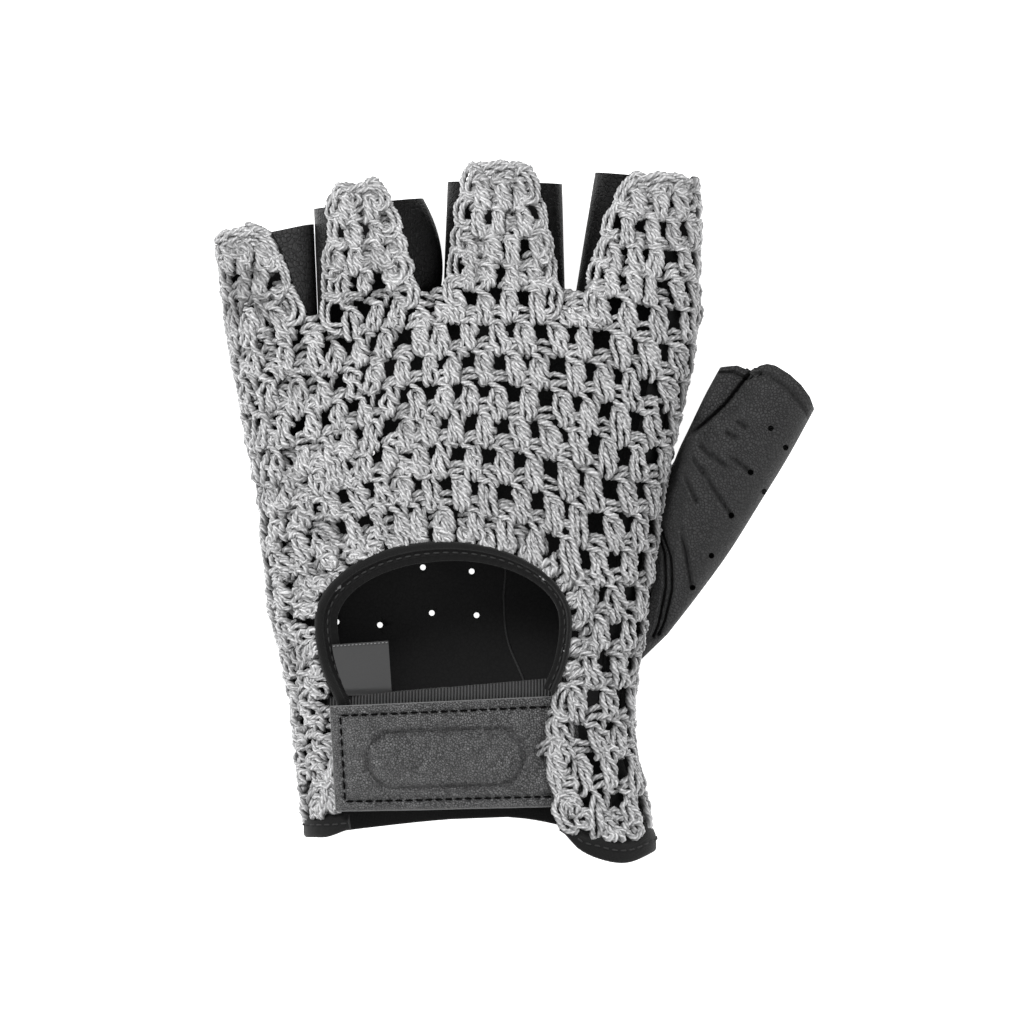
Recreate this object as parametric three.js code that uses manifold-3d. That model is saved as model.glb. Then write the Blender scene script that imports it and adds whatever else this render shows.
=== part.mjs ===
// A fingerless driving glove for the left hand, lying palm down: crocheted cotton back, leather palm,
// finger walls and thumb, a bound opening over the back of the hand and a leather strap at the wrist.
// Millimetres. +X runs towards the thumb, +Y along the fingers, +Z up out of the back of the hand.
import * as THREE from 'three';
import { mergeVertices } from 'three/addons/utils/BufferGeometryUtils.js';
import Module from 'manifold-3d';

const wasm = await Module();
wasm.setup();

// Driving dimensions
const CROCHET_THICK = 2.2;
const LEATHER_THICK = 1.2;
const TAPE_THICK = 1.4;
const CLEARANCE = 0.35;
const BULGE_TOP = 2.4; // exponent of the rounded section above its widest line
const BULGE_UNDER = 4.5; // below it the hand is boxier, flattened by its weight
const FINGER_UNDER = 3; // exponent of the fingers' sections below their widest line
const WIDEST_SHARE = 0.4; // height of the hand's widest line as a share of its whole height
const FINGER_WIDEST = 0.45;
const SETTLE = 0.9; // depth of the underside that the surface it lies on presses flat
const SEAM_DROP = 0.28; // where crochet meets leather, as a share of the way from widest line to table

// The hand from the knuckles to the wrist: outline of the back and height over the table
const HAND = [
  { y: 56.0, left: -66.5, right: 42.3, height: 22.0 },
  { y: 41.9, left: -64.8, right: 41.9, height: 24.5 },
  { y: 29.6, left: -62.2, right: 39.6, height: 26.5 },
  { y: 16.1, left: -59.4, right: 36.6, height: 28.0 },
  { y: 2.6, left: -57.0, right: 33.8, height: 28.2 },
  { y: -10.9, left: -55.6, right: 32.2, height: 27.8 },
  { y: -24.4, left: -54.0, right: 30.3, height: 26.8 },
  { y: -37.9, left: -50.7, right: 28.2, height: 25.4 },
  { y: -51.3, left: -48.8, right: 27.3, height: 24.2 },
  { y: -64.8, left: -47.6, right: 30.4, height: 23.2 },
  { y: -80.0, left: -46.2, right: 33.0, height: 22.4 },
];

// Each finger: where its leather tube begins and ends, and the crochet strip along its back
const FINGERS = [
  {
    name: 'pinky',
    base: [-64.8, 42.4, -44.0, 43.0],
    mouth: [-67.0, 60.2, -45.1, 64.8],
    stripBase: [-64.8, 42.0, -46.9, 42.0],
    stripTip: [-67.0, 61.6, -54.6, 62.6],
    height: 18.5,
  },
  {
    name: 'ring',
    base: [-43.3, 43.4, -16.1, 49.6],
    mouth: [-44.3, 68.2, -20.0, 70.6],
    stripBase: [-43.4, 42.4, -21.0, 47.6],
    stripTip: [-40.2, 72.4, -28.9, 73.6],
    height: 19.0,
  },
  {
    name: 'middle',
    base: [-15.4, 50.0, 11.9, 49.2],
    mouth: [-14.5, 74.3, 11.3, 73.8],
    stripBase: [-15.6, 48.6, 10.8, 47.8],
    stripTip: [-9.3, 78.2, 4.2, 78.2],
    height: 19.5,
  },
  {
    name: 'index',
    base: [14.2, 48.6, 42.0, 45.6],
    mouth: [18.7, 76.4, 42.2, 74.2],
    stripBase: [15.9, 47.4, 41.9, 44.8],
    stripTip: [26.6, 75.4, 40.2, 75.6],
    height: 19.0,
  },
];

// The thumb tube, from the side of the hand to its open end, and how far the lip of that end stands out
const THUMB = [
  { left: [36.6, 11.6], right: [35.0, -27.6], height: 13.5 },
  { left: [37.9, 14.8], right: [41.8, -18.8], height: 15.5 },
  { left: [39.6, 18.3], right: [48.9, -9.0], height: 16.8 },
  { left: [41.5, 22.3], right: [55.9, 2.2], height: 17.2 },
  { left: [43.7, 26.8], right: [61.9, 12.3], height: 17.2 },
  { left: [46.3, 31.4], right: [67.4, 22.8], height: 16.8 },
];
const THUMB_ROOT = { top: 8.2, bottom: -33.6, low: 1.1, high: 11.6, reach: 1.1 };
const THUMB_SECTION = { top: 2.3, under: 3.0, points: 24 };
const THUMB_FOLD = { start: -0.05, end: -0.4, depth: 5.0 }; // the crease beside the far edge
const THUMB_LIP = [
  { across: -1.0, out: 0.0 }, { across: -0.6, out: 3.0 }, { across: -0.3, out: 2.4 }, { across: 0.0, out: 5.4 },
  { across: 0.5, out: 5.2 }, { across: 0.8, out: 3.0 }, { across: 1.0, out: 0.0 },
];

// The opening in the back, and the edges of the two legs of crochet beside the wrist
const OPENING = { x: -15.4, y: -24.8, half: 29.2, above: 18.6, below: 32.0 };
const LEFT_LEG_EDGE = [[-39.2, -43.0], [-37.6, -52.0], [-36.0, -61.0], [-34.2, -71.0], [-34.0, -84.0]];
const RIGHT_LEG_EDGE = [
  [9.3, -38.2], [8.0, -44.0], [7.6, -52.0], [8.2, -60.0], [10.2, -68.0], [11.0, -84.0],
];

// Wrist hem: how far down the glove reaches across its back and across its palm
const HEM_BACK = [
  { x: -46.5, y: -73.2 }, { x: -40.0, y: -73.6 }, { x: -34.0, y: -72.8 }, { x: 11.0, y: -71.6 },
  { x: 15.0, y: -75.6 }, { x: 20.0, y: -78.0 }, { x: 26.0, y: -78.8 }, { x: 33.0, y: -76.2 },
];
const HEM_PALM = [
  { x: -46.5, y: -73.2 }, { x: -33.0, y: -71.4 }, { x: -12.0, y: -69.3 }, { x: 0.0, y: -69.0 },
  { x: 10.0, y: -70.6 }, { x: 20.0, y: -73.8 }, { x: 33.0, y: -76.2 },
];
const HEM_TAPE = 4.2;
const WRIST_TAPE = { start: 10.9, end: -34.3, backY: -73.0, stops: 40 };

// The crochet's finger strips: columns of points, and the tip's crown
const STRIP_COLUMNS = [4, 4, 5, 5];
const SIDE_CROWDING = 1.6; // gathers the columns of the outer strips at the glove's steep sides
const TIP_CROWN = 1.0;
const CROCHET_ROWS = { finger: 4, hand: 13 };

// The crochet mesh: a sheared lattice of gaps, rows arched across the hand
const MESH = {
  pitch: 6.85, // from gap to gap along a row
  drift: -2.92, // how far each row is set back from the row above
  originX: 13.6,
  originColumn: 4,
  crownColumn: 1,
  crownY: 48.2,
  rowPitch: 6.9,
  arch: 0.135,
  spread: 0.0225,
  spreadLimit: 36,
  crowdedFrom: 1.6, // columns left of this one stand closer together
  crowding: 0.94,
  legRow: 5.5, // from this row on, those columns turn down into the left leg
  legShift: 3.4,
  legBlend: 3.0,
  gap: [2.9, 3.4],
  smallGap: 0.8, // share of that size left of the first column
  rows: 15,
  firstColumn: -2,
  lastColumn: 12,
};
const GAP_MARGIN = { left: 9.5, right: 3.8, hem: 8.2, opening: 3.2, leftLeg: 2.8, rightLeg: 3.0, top: 48.5 };
const FINGER_GAPS = [
  { share: 0.2, places: [0.25, 0.53, 0.8] },
  { share: 0.46, places: [0.3, 0.66] },
  { share: 0.72, places: [0.28, 0.7] },
];
const FINGER_GAP_SIZE = 0.9;

// The leather: half the turn of a finger's section that its front covers, columns of the palm's two sides
const FRONT_TURN = 0.95;
const FRONT_SEAM = 0.16;
const OUTER_DROPS = [SEAM_DROP + 0.055, 0.5, 0.7, 0.85];
const PALM_ROWS = { finger: 4, hand: 12 };
const WALL_STEPS = { along: 5, down: 5, base: 0.045, crotch: 0.8 };

// Profile of the opening's binding: inward from the crochet's edge, and up from its underside
const BINDING_PROFILE = [
  [0, 0.4], [0, 2.2], [0.6, 2.9], [1.5, 2.9], [2.1, 2.2], [2.3, 1.5], [6.0, 0.6], [6.0, -0.3], [2.0, 0.1],
];
const BINDING_STOPS = 30;

// The strap across the wrist, the ribbed tape below it and the small label
const STRAP = { left: -40.7, right: 14.5, topLeft: -43.6, topRight: -41.2, deep: 24.0, thick: 2.4 };
const UNDERLAP = { left: -40.9, right: 12.5, topLeft: -41.6, topRight: -37.0, deep: 22.5 };
const LABEL = { left: -40.0, right: -27.4, top: -29.6, bottom: -45.0, thick: 0.6 };

const MATERIALS = {
  crochet: new THREE.MeshStandardMaterial({ color: 0xb4b4b2, roughness: 0.95, metalness: 0 }),
  palm: new THREE.MeshStandardMaterial({ color: 0x2c2c2d, roughness: 0.6, metalness: 0 }),
  wall: new THREE.MeshStandardMaterial({ color: 0x242425, roughness: 0.6, metalness: 0 }),
  thumb: new THREE.MeshStandardMaterial({ color: 0x333334, roughness: 0.55, metalness: 0 }),
  tape: new THREE.MeshStandardMaterial({ color: 0x1c1c1d, roughness: 0.9, metalness: 0 }),
  strap: new THREE.MeshStandardMaterial({ color: 0x4b4b4c, roughness: 0.65, metalness: 0 }),
  label: new THREE.MeshStandardMaterial({ color: 0x5a5a5b, roughness: 0.9, metalness: 0 }),
};

const lerp = THREE.MathUtils.lerp;
const smooth = THREE.MathUtils.smoothstep;
const signedPower = (value, power) => Math.sign(value) * Math.abs(value) ** power;

// The value of one named column of a table at a place along another, on a smooth curve
function lookUp(table, along, key, at) {
  const rows = table[0][along] < table[table.length - 1][along] ? table : [...table].reverse();
  let k = 0;
  while (k < rows.length - 2 && rows[k + 1][along] < at) k += 1;
  const a = rows[k];
  const b = rows[k + 1];
  const slope = (p, q) => (q[key] - p[key]) / (q[along] - p[along]);
  const middle = slope(a, b);
  const before = k > 0 ? (slope(rows[k - 1], a) + middle) / 2 : middle;
  const after = k < rows.length - 2 ? (slope(b, rows[k + 2]) + middle) / 2 : middle;
  const span = b[along] - a[along];
  const t = (at - a[along]) / span;
  const blend = t * t * (3 - 2 * t);
  const bend = span * (before * t * (1 - t) ** 2 - after * t * t * (1 - t));
  return t < 0 || t > 1 ? lerp(a[key], b[key], t) : lerp(a[key], b[key], blend) + bend;
}

// One cross-section of the hand: its middle, half width, height and widest line
function handSection(y) {
  const left = lookUp(HAND, 'y', 'left', y);
  const right = lookUp(HAND, 'y', 'right', y);
  const height = lookUp(HAND, 'y', 'height', y);
  return { middle: (left + right) / 2, half: (right - left) / 2, height, widest: height * WIDEST_SHARE };
}

// Height of a rounded section at a sideways place from -1 to 1
function crownHeight(section, across) {
  const t = Math.min(Math.abs(across), 1);
  return section.widest + (section.height - section.widest) * (1 - t ** BULGE_TOP) ** (1 / BULGE_TOP);
}

// Height of the back of the hand over a point of the table
function backHeight(x, y) {
  const section = handSection(y);
  return crownHeight(section, (x - section.middle) / section.half);
}

// A point round the hand's section: 0 at the thumb side, a quarter turn at the back, half at the left
function roundHand(turn, y) {
  const section = handSection(y);
  const power = Math.sin(turn) >= 0 ? BULGE_TOP : BULGE_UNDER;
  const x = section.middle + section.half * signedPower(Math.cos(turn), 2 / power);
  const rise = signedPower(Math.sin(turn), 2 / power);
  const reach = rise >= 0 ? section.height - section.widest : section.widest + SETTLE;
  return new THREE.Vector3(x, y, Math.max(section.widest + rise * reach, 0));
}

// One cross-section of a finger: share 0 at its base and 1 at its mouth
function fingerSection(finger, share) {
  const [ax, ay, bx, by] = finger.base.map((value, k) => lerp(value, finger.mouth[k], share));
  const left = new THREE.Vector2(ax, ay);
  const right = new THREE.Vector2(bx, by);
  const baseHeight = backHeight((finger.base[0] + finger.base[2]) / 2, finger.base[1]);
  const height = lerp(Math.min(baseHeight, finger.height + 3), finger.height, smooth(share, 0, 1));
  return {
    centre: left.clone().add(right).multiplyScalar(0.5),
    reach: right.clone().sub(left).multiplyScalar(0.5),
    height,
    widest: height * FINGER_WIDEST,
  };
}

// A point round a finger's section, counted as round the hand
function roundFinger(finger, share, turn) {
  const section = fingerSection(finger, share);
  const power = Math.sin(turn) >= 0 ? BULGE_TOP : FINGER_UNDER;
  const across = signedPower(Math.cos(turn), 2 / power);
  const rise = signedPower(Math.sin(turn), 2 / power);
  const reach = rise >= 0 ? section.height - section.widest : section.widest + SETTLE;
  return new THREE.Vector3(
    section.centre.x + section.reach.x * across,
    section.centre.y + section.reach.y * across,
    Math.max(section.widest + rise * reach, 0),
  );
}

// The turn round a finger at which its section stands over a sideways place
function turnAt(across) {
  const t = THREE.MathUtils.clamp(across, -1, 1);
  return Math.acos(signedPower(t, BULGE_TOP / 2));
}

function acrossFinger(finger, share, x, y) {
  const section = fingerSection(finger, share);
  const offset = new THREE.Vector2(x, y).sub(section.centre);
  return offset.dot(section.reach) / section.reach.lengthSq();
}

// Edges of the crochet strip on a finger: share 0 at the base, 1 at the tip, narrowing late
function stripEdges(finger, share) {
  const narrow = share * 0.55 + 0.45 * share ** 3;
  const [ax, , bx] = finger.stripBase.map((value, k) => lerp(value, finger.stripTip[k], narrow));
  const ay = lerp(finger.stripBase[1], finger.stripTip[1], share);
  const by = lerp(finger.stripBase[3], finger.stripTip[3], share);
  return [new THREE.Vector2(ax, ay), new THREE.Vector2(bx, by)];
}

// A closed body from rings of points: every face goes in as a polygon, outer side counter-clockwise
class Faces {
  constructor() {
    this.positions = [];
  }

  triangle(a, b, c) {
    for (const p of [a, b, c]) this.positions.push(p.x, p.y, p.z);
  }

  quad(a, b, c, d) {
    this.triangle(a, b, c);
    this.triangle(a, c, d);
  }

  fan(points) {
    for (let k = 1; k < points.length - 1; k += 1) this.triangle(points[0], points[k], points[k + 1]);
  }

  geometry() {
    const geometry = new THREE.BufferGeometry();
    geometry.setAttribute('position', new THREE.Float32BufferAttribute(this.positions, 3));
    return mergeVertices(geometry, 1e-4);
  }
}

// Smoothed outward directions at the points of a grid, from the cells that are kept
function gridNormals(grid, keep, wrap) {
  const rows = grid.length;
  const columns = grid[0].length;
  const normals = grid.map((row) => row.map(() => new THREE.Vector3()));
  for (let r = 0; r < rows - 1; r += 1) {
    for (let c = 0; c < (wrap ? columns : columns - 1); c += 1) {
      if (!keep(r, c)) continue;
      const d = (c + 1) % columns;
      const falling = grid[r + 1][d].clone().sub(grid[r][c]);
      const rising = grid[r][d].clone().sub(grid[r + 1][c]);
      const facing = falling.cross(rising);
      for (const [p, q] of [[r, c], [r, d], [r + 1, c], [r + 1, d]]) normals[p][q].add(facing);
    }
  }
  return normals.map((row) => row.map((n) => (n.lengthSq() > 0 ? n.normalize() : n)));
}

// A sheet of even thickness under a grid of points. Rows run down and columns to the right, seen from
// outside. A wrapped sheet closes on itself sideways, as a tube does.
function sheet(grid, thick, keep = () => true, wrap = false) {
  const normals = gridNormals(grid, keep, wrap);
  const under = grid.map((row, r) => row.map((p, c) => p.clone().addScaledVector(normals[r][c], -thick)));
  const faces = new Faces();
  const columns = grid[0].length;
  const last = wrap ? columns : columns - 1;
  const has = (r, c) => {
    const inside = r >= 0 && r < grid.length - 1 && (wrap || (c >= 0 && c < last));
    return inside && keep(r, (c + columns) % columns);
  };
  for (let r = 0; r < grid.length - 1; r += 1) {
    for (let c = 0; c < last; c += 1) {
      if (!has(r, c)) continue;
      const d = (c + 1) % columns;
      faces.quad(grid[r][c], grid[r + 1][c], grid[r + 1][d], grid[r][d]);
      faces.quad(under[r][c], under[r][d], under[r + 1][d], under[r + 1][c]);
      if (!has(r - 1, c)) faces.quad(grid[r][c], grid[r][d], under[r][d], under[r][c]);
      if (!has(r + 1, c)) faces.quad(grid[r + 1][d], grid[r + 1][c], under[r + 1][c], under[r + 1][d]);
      if (!has(r, c - 1)) faces.quad(grid[r + 1][c], grid[r][c], under[r][c], under[r + 1][c]);
      if (!has(r, c + 1)) faces.quad(grid[r][d], grid[r + 1][d], under[r + 1][d], under[r][d]);
    }
  }
  return faces.geometry();
}

// A flat profile carried along a path. Each stop gives its place and the two directions of the profile.
function sweep(stops, profile) {
  const rings = stops.map(({ at, side, up }) =>
    profile.map(([s, u]) => at.clone().addScaledVector(side, s).addScaledVector(up, u)));
  const faces = new Faces();
  const count = profile.length;
  for (let k = 0; k < rings.length - 1; k += 1) {
    for (let m = 0; m < count; m += 1) {
      const n = (m + 1) % count;
      faces.quad(rings[k][m], rings[k][n], rings[k + 1][n], rings[k + 1][m]);
    }
  }
  faces.fan([...rings[0]].reverse());
  faces.fan(rings[rings.length - 1]);
  return faces.geometry();
}

// A straight-sided block over an outline given in the table's plane
function prism(outline, low, high) {
  const faces = new Faces();
  const shape = outline.map(([x, y]) => new THREE.Vector2(x, y));
  if (THREE.ShapeUtils.isClockWise(shape)) shape.reverse();
  const at = (k, z) => new THREE.Vector3(shape[k].x, shape[k].y, z);
  for (const [a, b, c] of THREE.ShapeUtils.triangulateShape(shape, [])) {
    faces.triangle(at(a, high), at(b, high), at(c, high));
    faces.triangle(at(a, low), at(c, low), at(b, low));
  }
  for (let k = 0; k < shape.length; k += 1) {
    const n = (k + 1) % shape.length;
    faces.quad(at(k, low), at(n, low), at(n, high), at(k, high));
  }
  return faces.geometry();
}

function toSolid(geometry) {
  const vertProperties = new Float32Array(geometry.attributes.position.array);
  const triVerts = new Uint32Array(geometry.index.array);
  return new wasm.Manifold(new wasm.Mesh({ numProp: 3, vertProperties, triVerts }));
}

function fromSolid(solid) {
  const mesh = solid.getMesh();
  const geometry = new THREE.BufferGeometry();
  geometry.setAttribute('position', new THREE.Float32BufferAttribute(mesh.vertProperties, 3));
  geometry.setIndex(Array.from(mesh.triVerts));
  return geometry;
}

// The largest of the loose bodies that a cut can leave
function largest(solid) {
  const bodies = solid.decompose();
  return bodies.reduce((best, body) => (body.volume() > best.volume() ? body : best));
}

// Crochet

// Points of the opening's edge, from the left leg over the top to the right leg
function openingEdge(inset = 0) {
  const from = THREE.MathUtils.degToRad(211);
  const to = THREE.MathUtils.degToRad(-23);
  const arc = [];
  for (let k = 0; k <= 20; k += 1) {
    const turn = lerp(from, to, k / 20);
    const rise = Math.sin(turn) > 0 ? OPENING.above : OPENING.below;
    arc.push([
      OPENING.x + (OPENING.half - inset) * Math.cos(turn),
      OPENING.y + (rise - inset) * Math.sin(turn),
    ]);
  }
  return arc;
}

// Gap centres of the crochet lattice on the hand
function meshPoint(column, row) {
  const off = Math.min((column - MESH.crownColumn) ** 2, MESH.spreadLimit);
  const crowded = Math.max(MESH.crowdedFrom - column, 0);
  let x = MESH.originX + MESH.drift * (row - 1) + MESH.pitch * (column - MESH.originColumn);
  x += MESH.crowding * crowded;
  x += MESH.legShift * Math.min(crowded / MESH.legBlend, 1) * Math.max(row - MESH.legRow, 0);
  const y = MESH.crownY - MESH.arch * off - (MESH.rowPitch + MESH.spread * off) * row;
  return [x, y];
}

function hemY(table, x) {
  return lookUp(table, 'x', 'y', THREE.MathUtils.clamp(x, table[0].x, table[table.length - 1].x));
}

// The turn, past the widest line, at which a section has gone down a share of the way to the table
const dropTurn = (drop, power) => Math.asin(drop ** (power / 2));

// Columns of the crochet sheet: those of each finger strip, and one down each side to the palm's seam
function crochetColumns() {
  const columns = FINGERS.flatMap((finger, f) => Array.from({ length: STRIP_COLUMNS[f] }, (_, k) => {
    const share = k / (STRIP_COLUMNS[f] - 1);
    const fromLeft = share ** SIDE_CROWDING;
    const fromRight = 1 - (1 - share) ** SIDE_CROWDING;
    return { finger, seam: 0, place: f === 0 ? fromLeft : f === 3 ? fromRight : share };
  }));
  return [{ finger: FINGERS[0], seam: -1, place: 0 }, ...columns, { finger: FINGERS[3], seam: 1, place: 1 }];
}

// How much of its leather tube's length a finger's crochet strip covers
function stripLength(finger) {
  return (finger.stripTip[1] - finger.stripBase[1]) / (finger.mouth[1] - finger.base[1]);
}

const seamTurn = (side, power) => {
  const drop = dropTurn(SEAM_DROP, power);
  return side < 0 ? Math.PI + drop : -drop;
};

function crochetOnFinger({ finger, seam, place }, share) {
  const along = share * stripLength(finger);
  const [a, b] = stripEdges(finger, share);
  const at = a.clone().lerp(b, place);
  if (seam !== 0) {
    const low = roundFinger(finger, along, seamTurn(seam, FINGER_UNDER));
    return new THREE.Vector3(low.x, at.y, low.z);
  }
  const crown = share === 1 ? TIP_CROWN * (1 - (2 * place - 1) ** 2) : 0;
  const z = crownHeight(fingerSection(finger, along), acrossFinger(finger, along, at.x, at.y));
  return new THREE.Vector3(at.x, at.y + crown, z);
}

function crochetOnHand({ finger, seam, place }, share) {
  const [a, b] = stripEdges(finger, 0);
  const start = a.clone().lerp(b, place);
  const top = handSection(start.y);
  const across = THREE.MathUtils.clamp((start.x - top.middle) / top.half, -1, 1);
  let { x, y } = start;
  for (let k = 0; k < 5; k += 1) {
    y = lerp(start.y, hemY(HEM_BACK, x) + HEM_TAPE, share);
    x = handSection(y).middle + across * handSection(y).half;
  }
  if (seam !== 0) return roundHand(seamTurn(seam, BULGE_UNDER), y);
  return new THREE.Vector3(x, y, crownHeight(handSection(y), across));
}

function crochetGrid() {
  const columns = crochetColumns();
  const grid = [];
  for (let r = 0; r < CROCHET_ROWS.finger; r += 1) {
    grid.push(columns.map((column) => crochetOnFinger(column, 1 - r / CROCHET_ROWS.finger)));
  }
  for (let r = 0; r <= CROCHET_ROWS.hand; r += 1) {
    grid.push(columns.map((column) => crochetOnHand(column, r / CROCHET_ROWS.hand)));
  }
  const keep = (r, c) => r >= CROCHET_ROWS.finger || columns[c].finger === columns[c + 1].finger;
  return { grid, keep };
}

// A straight cutter for one gap of the net, leaning with the net's columns
function gapCutter(x, y, size) {
  const [w, h] = MESH.gap.map((length) => (length * size) / 2);
  const lean = (h * MESH.drift) / MESH.rowPitch;
  const outline = [[x - w - lean, y + h], [x - w + lean, y - h], [x + w + lean, y - h], [x + w - lean, y + h]];
  return prism(outline, 4, 40);
}

// Whether a gap of the lattice lies on the net, clear of its edges
function onNet(x, y, edge) {
  const section = handSection(y);
  const inside = x > section.middle - section.half + GAP_MARGIN.left
    && x < section.middle + section.half - GAP_MARGIN.right
    && y > hemY(HEM_BACK, x) + GAP_MARGIN.hem
    && y < GAP_MARGIN.top;
  const rise = y > OPENING.y ? OPENING.above : OPENING.below;
  const inOval = Math.hypot((x - OPENING.x) / OPENING.half, (y - OPENING.y) / rise) < 1;
  const nearOval = edge.some(([ex, ey]) => Math.hypot(ex - x, ey - y) < GAP_MARGIN.opening);
  const belowOval = y < RIGHT_LEG_EDGE[0][1] && x > LEFT_LEG_EDGE[2][0] - GAP_MARGIN.leftLeg
    && x < RIGHT_LEG_EDGE[0][0] + GAP_MARGIN.rightLeg;
  return inside && !inOval && !nearOval && !belowOval;
}

function gapCutters() {
  const cutters = [];
  const edge = openingEdge();
  for (let row = 0; row <= MESH.rows; row += 1) {
    for (let column = MESH.firstColumn; column <= MESH.lastColumn; column += 1) {
      const [x, y] = meshPoint(column, row);
      if (onNet(x, y, edge)) cutters.push(gapCutter(x, y, column < 0 ? MESH.smallGap : 1));
    }
  }
  for (const finger of FINGERS) {
    for (const { share, places } of FINGER_GAPS) {
      const [a, b] = stripEdges(finger, share);
      for (const place of places) {
        const spot = a.clone().lerp(b, place);
        cutters.push(gapCutter(spot.x, spot.y, FINGER_GAP_SIZE));
      }
    }
  }
  return cutters;
}

function crochetBack() {
  const { grid, keep } = crochetGrid();
  let solid = toSolid(sheet(grid, CROCHET_THICK, keep));
  const hole = [...[...LEFT_LEG_EDGE].reverse(), ...openingEdge(), ...RIGHT_LEG_EDGE];
  solid = solid.subtract(toSolid(prism(hole, -5, 45)));
  for (const cutter of gapCutters()) solid = solid.subtract(toSolid(cutter));
  return fromSolid(largest(solid));
}

// Leather

// The middle of a section's underside
const BOTTOM = 1.5 * Math.PI;

// Columns of the palm: the two sides of the hand by how far down they are, the finger fronts by their turn
function palmColumns() {
  const left = (drop) => (power) => Math.PI + dropTurn(drop, power);
  const right = (drop) => (power) => 2 * Math.PI - dropTurn(drop, power);
  const front = (turn) => () => BOTTOM + turn;
  return FINGERS.flatMap((finger, f) => {
    const starts = f === 0 ? OUTER_DROPS.map(left) : [front(-FRONT_TURN)];
    const ends = f === 3 ? OUTER_DROPS.map(right).reverse() : [front(FRONT_TURN)];
    return [
      ...starts.map((turn) => ({ finger, turn, outer: f === 0 })),
      { finger, turn: front(0), outer: false },
      ...ends.map((turn) => ({ finger, turn, outer: f === 3 })),
    ];
  });
}

// Palm: bottom of the hand, its two sides up to the crochet, and the fronts of the fingers
function palm() {
  const columns = palmColumns().reverse(); // seen from below, they run the other way
  const onFinger = (share) => ({ finger, turn }) => roundFinger(finger, share, turn(FINGER_UNDER));
  const knuckles = columns.map(onFinger(0.02));
  const turnUnder = (point) => {
    const section = handSection(point.y);
    const across = THREE.MathUtils.clamp((point.x - section.middle) / section.half, -1, 1);
    return 2 * Math.PI - Math.acos(signedPower(across, BULGE_UNDER / 2));
  };
  const onHand = (share) => ({ turn, outer }, c) => {
    const around = outer ? turn(BULGE_UNDER) : turnUnder(knuckles[c]);
    const start = knuckles[c].y - 0.5;
    let y = start;
    for (let k = 0; k < 4; k += 1) {
      y = lerp(start, hemY(HEM_PALM, roundHand(around, y).x) + HEM_TAPE, share);
    }
    return roundHand(around, y);
  };
  const grid = [];
  for (let r = 0; r < PALM_ROWS.finger; r += 1) grid.push(columns.map(onFinger(1 - r / PALM_ROWS.finger)));
  for (let r = 0; r <= PALM_ROWS.hand; r += 1) grid.push(columns.map(onHand(r / PALM_ROWS.hand)));
  const overThumb = (r, c) => {
    const middleY = (grid[r][c].y + grid[r + 1][c].y) / 2;
    const onSide = c === 1 || c === 2;
    return onSide && middleY < THUMB_ROOT.top - 6 && middleY > THUMB_ROOT.bottom + 6;
  };
  const keep = (r, c) => (r < PALM_ROWS.finger ? columns[c].finger === columns[c + 1].finger : !overThumb(r, c));
  return sheet(grid, LEATHER_THICK, keep);
}

// A leather wall between two neighbouring fingers: down the side of one and up the side of the next
function fourchette(leftFinger, rightFinger) {
  const side = (finger, along, level, onRight) => {
    const share = lerp(WALL_STEPS.base, 1, along);
    const edge = stripEdges(finger, Math.min(share / stripLength(finger), 1))[onRight ? 1 : 0];
    const margin = (2 * CLEARANCE) / fingerSection(finger, share).reach.length();
    const seam = acrossFinger(finger, share, edge.x, edge.y) + (onRight ? margin : -margin);
    const high = turnAt(THREE.MathUtils.clamp(seam, -0.985, 0.985));
    const front = FRONT_TURN + FRONT_SEAM;
    return roundFinger(finger, share, lerp(high, onRight ? BOTTOM + front - 2 * Math.PI : BOTTOM - front, level));
  };
  const grid = [];
  for (let k = 0; k <= WALL_STEPS.down; k += 1) {
    const level = k / WALL_STEPS.down;
    const steps = Array.from({ length: WALL_STEPS.along + 1 }, (_, s) => s / WALL_STEPS.along);
    const right = steps.map((along) => side(rightFinger, along, level, false));
    const left = steps.map((along) => side(leftFinger, along, level, true));
    const crotch = right[0].clone().lerp(left[0], 0.5);
    crotch.y -= WALL_STEPS.crotch;
    grid.push([...right.reverse(), crotch, ...left]);
  }
  return sheet(grid, LEATHER_THICK);
}

// Where the thumb's tube meets the side of the hand
function thumbRoot(turn) {
  const power = Math.sin(turn) >= 0 ? 2 : 3; // squarer below, where the palm's cut-out has corners
  const y = lerp(THUMB_ROOT.bottom, THUMB_ROOT.top, (1 - signedPower(Math.cos(turn), 2 / power)) / 2);
  const z = lerp(THUMB_ROOT.low, THUMB_ROOT.high, (1 + signedPower(Math.sin(turn), 2 / power)) / 2);
  const section = handSection(y);
  const below = Math.max((section.widest - z) / (section.widest + SETTLE), 0);
  const above = Math.max((z - section.widest) / (section.height - section.widest), 0);
  const inward = above > 0
    ? (1 - above ** BULGE_TOP) ** (1 / BULGE_TOP)
    : (1 - below ** BULGE_UNDER) ** (1 / BULGE_UNDER);
  return new THREE.Vector3(section.middle + section.half * inward + THUMB_ROOT.reach, y, z);
}

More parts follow.
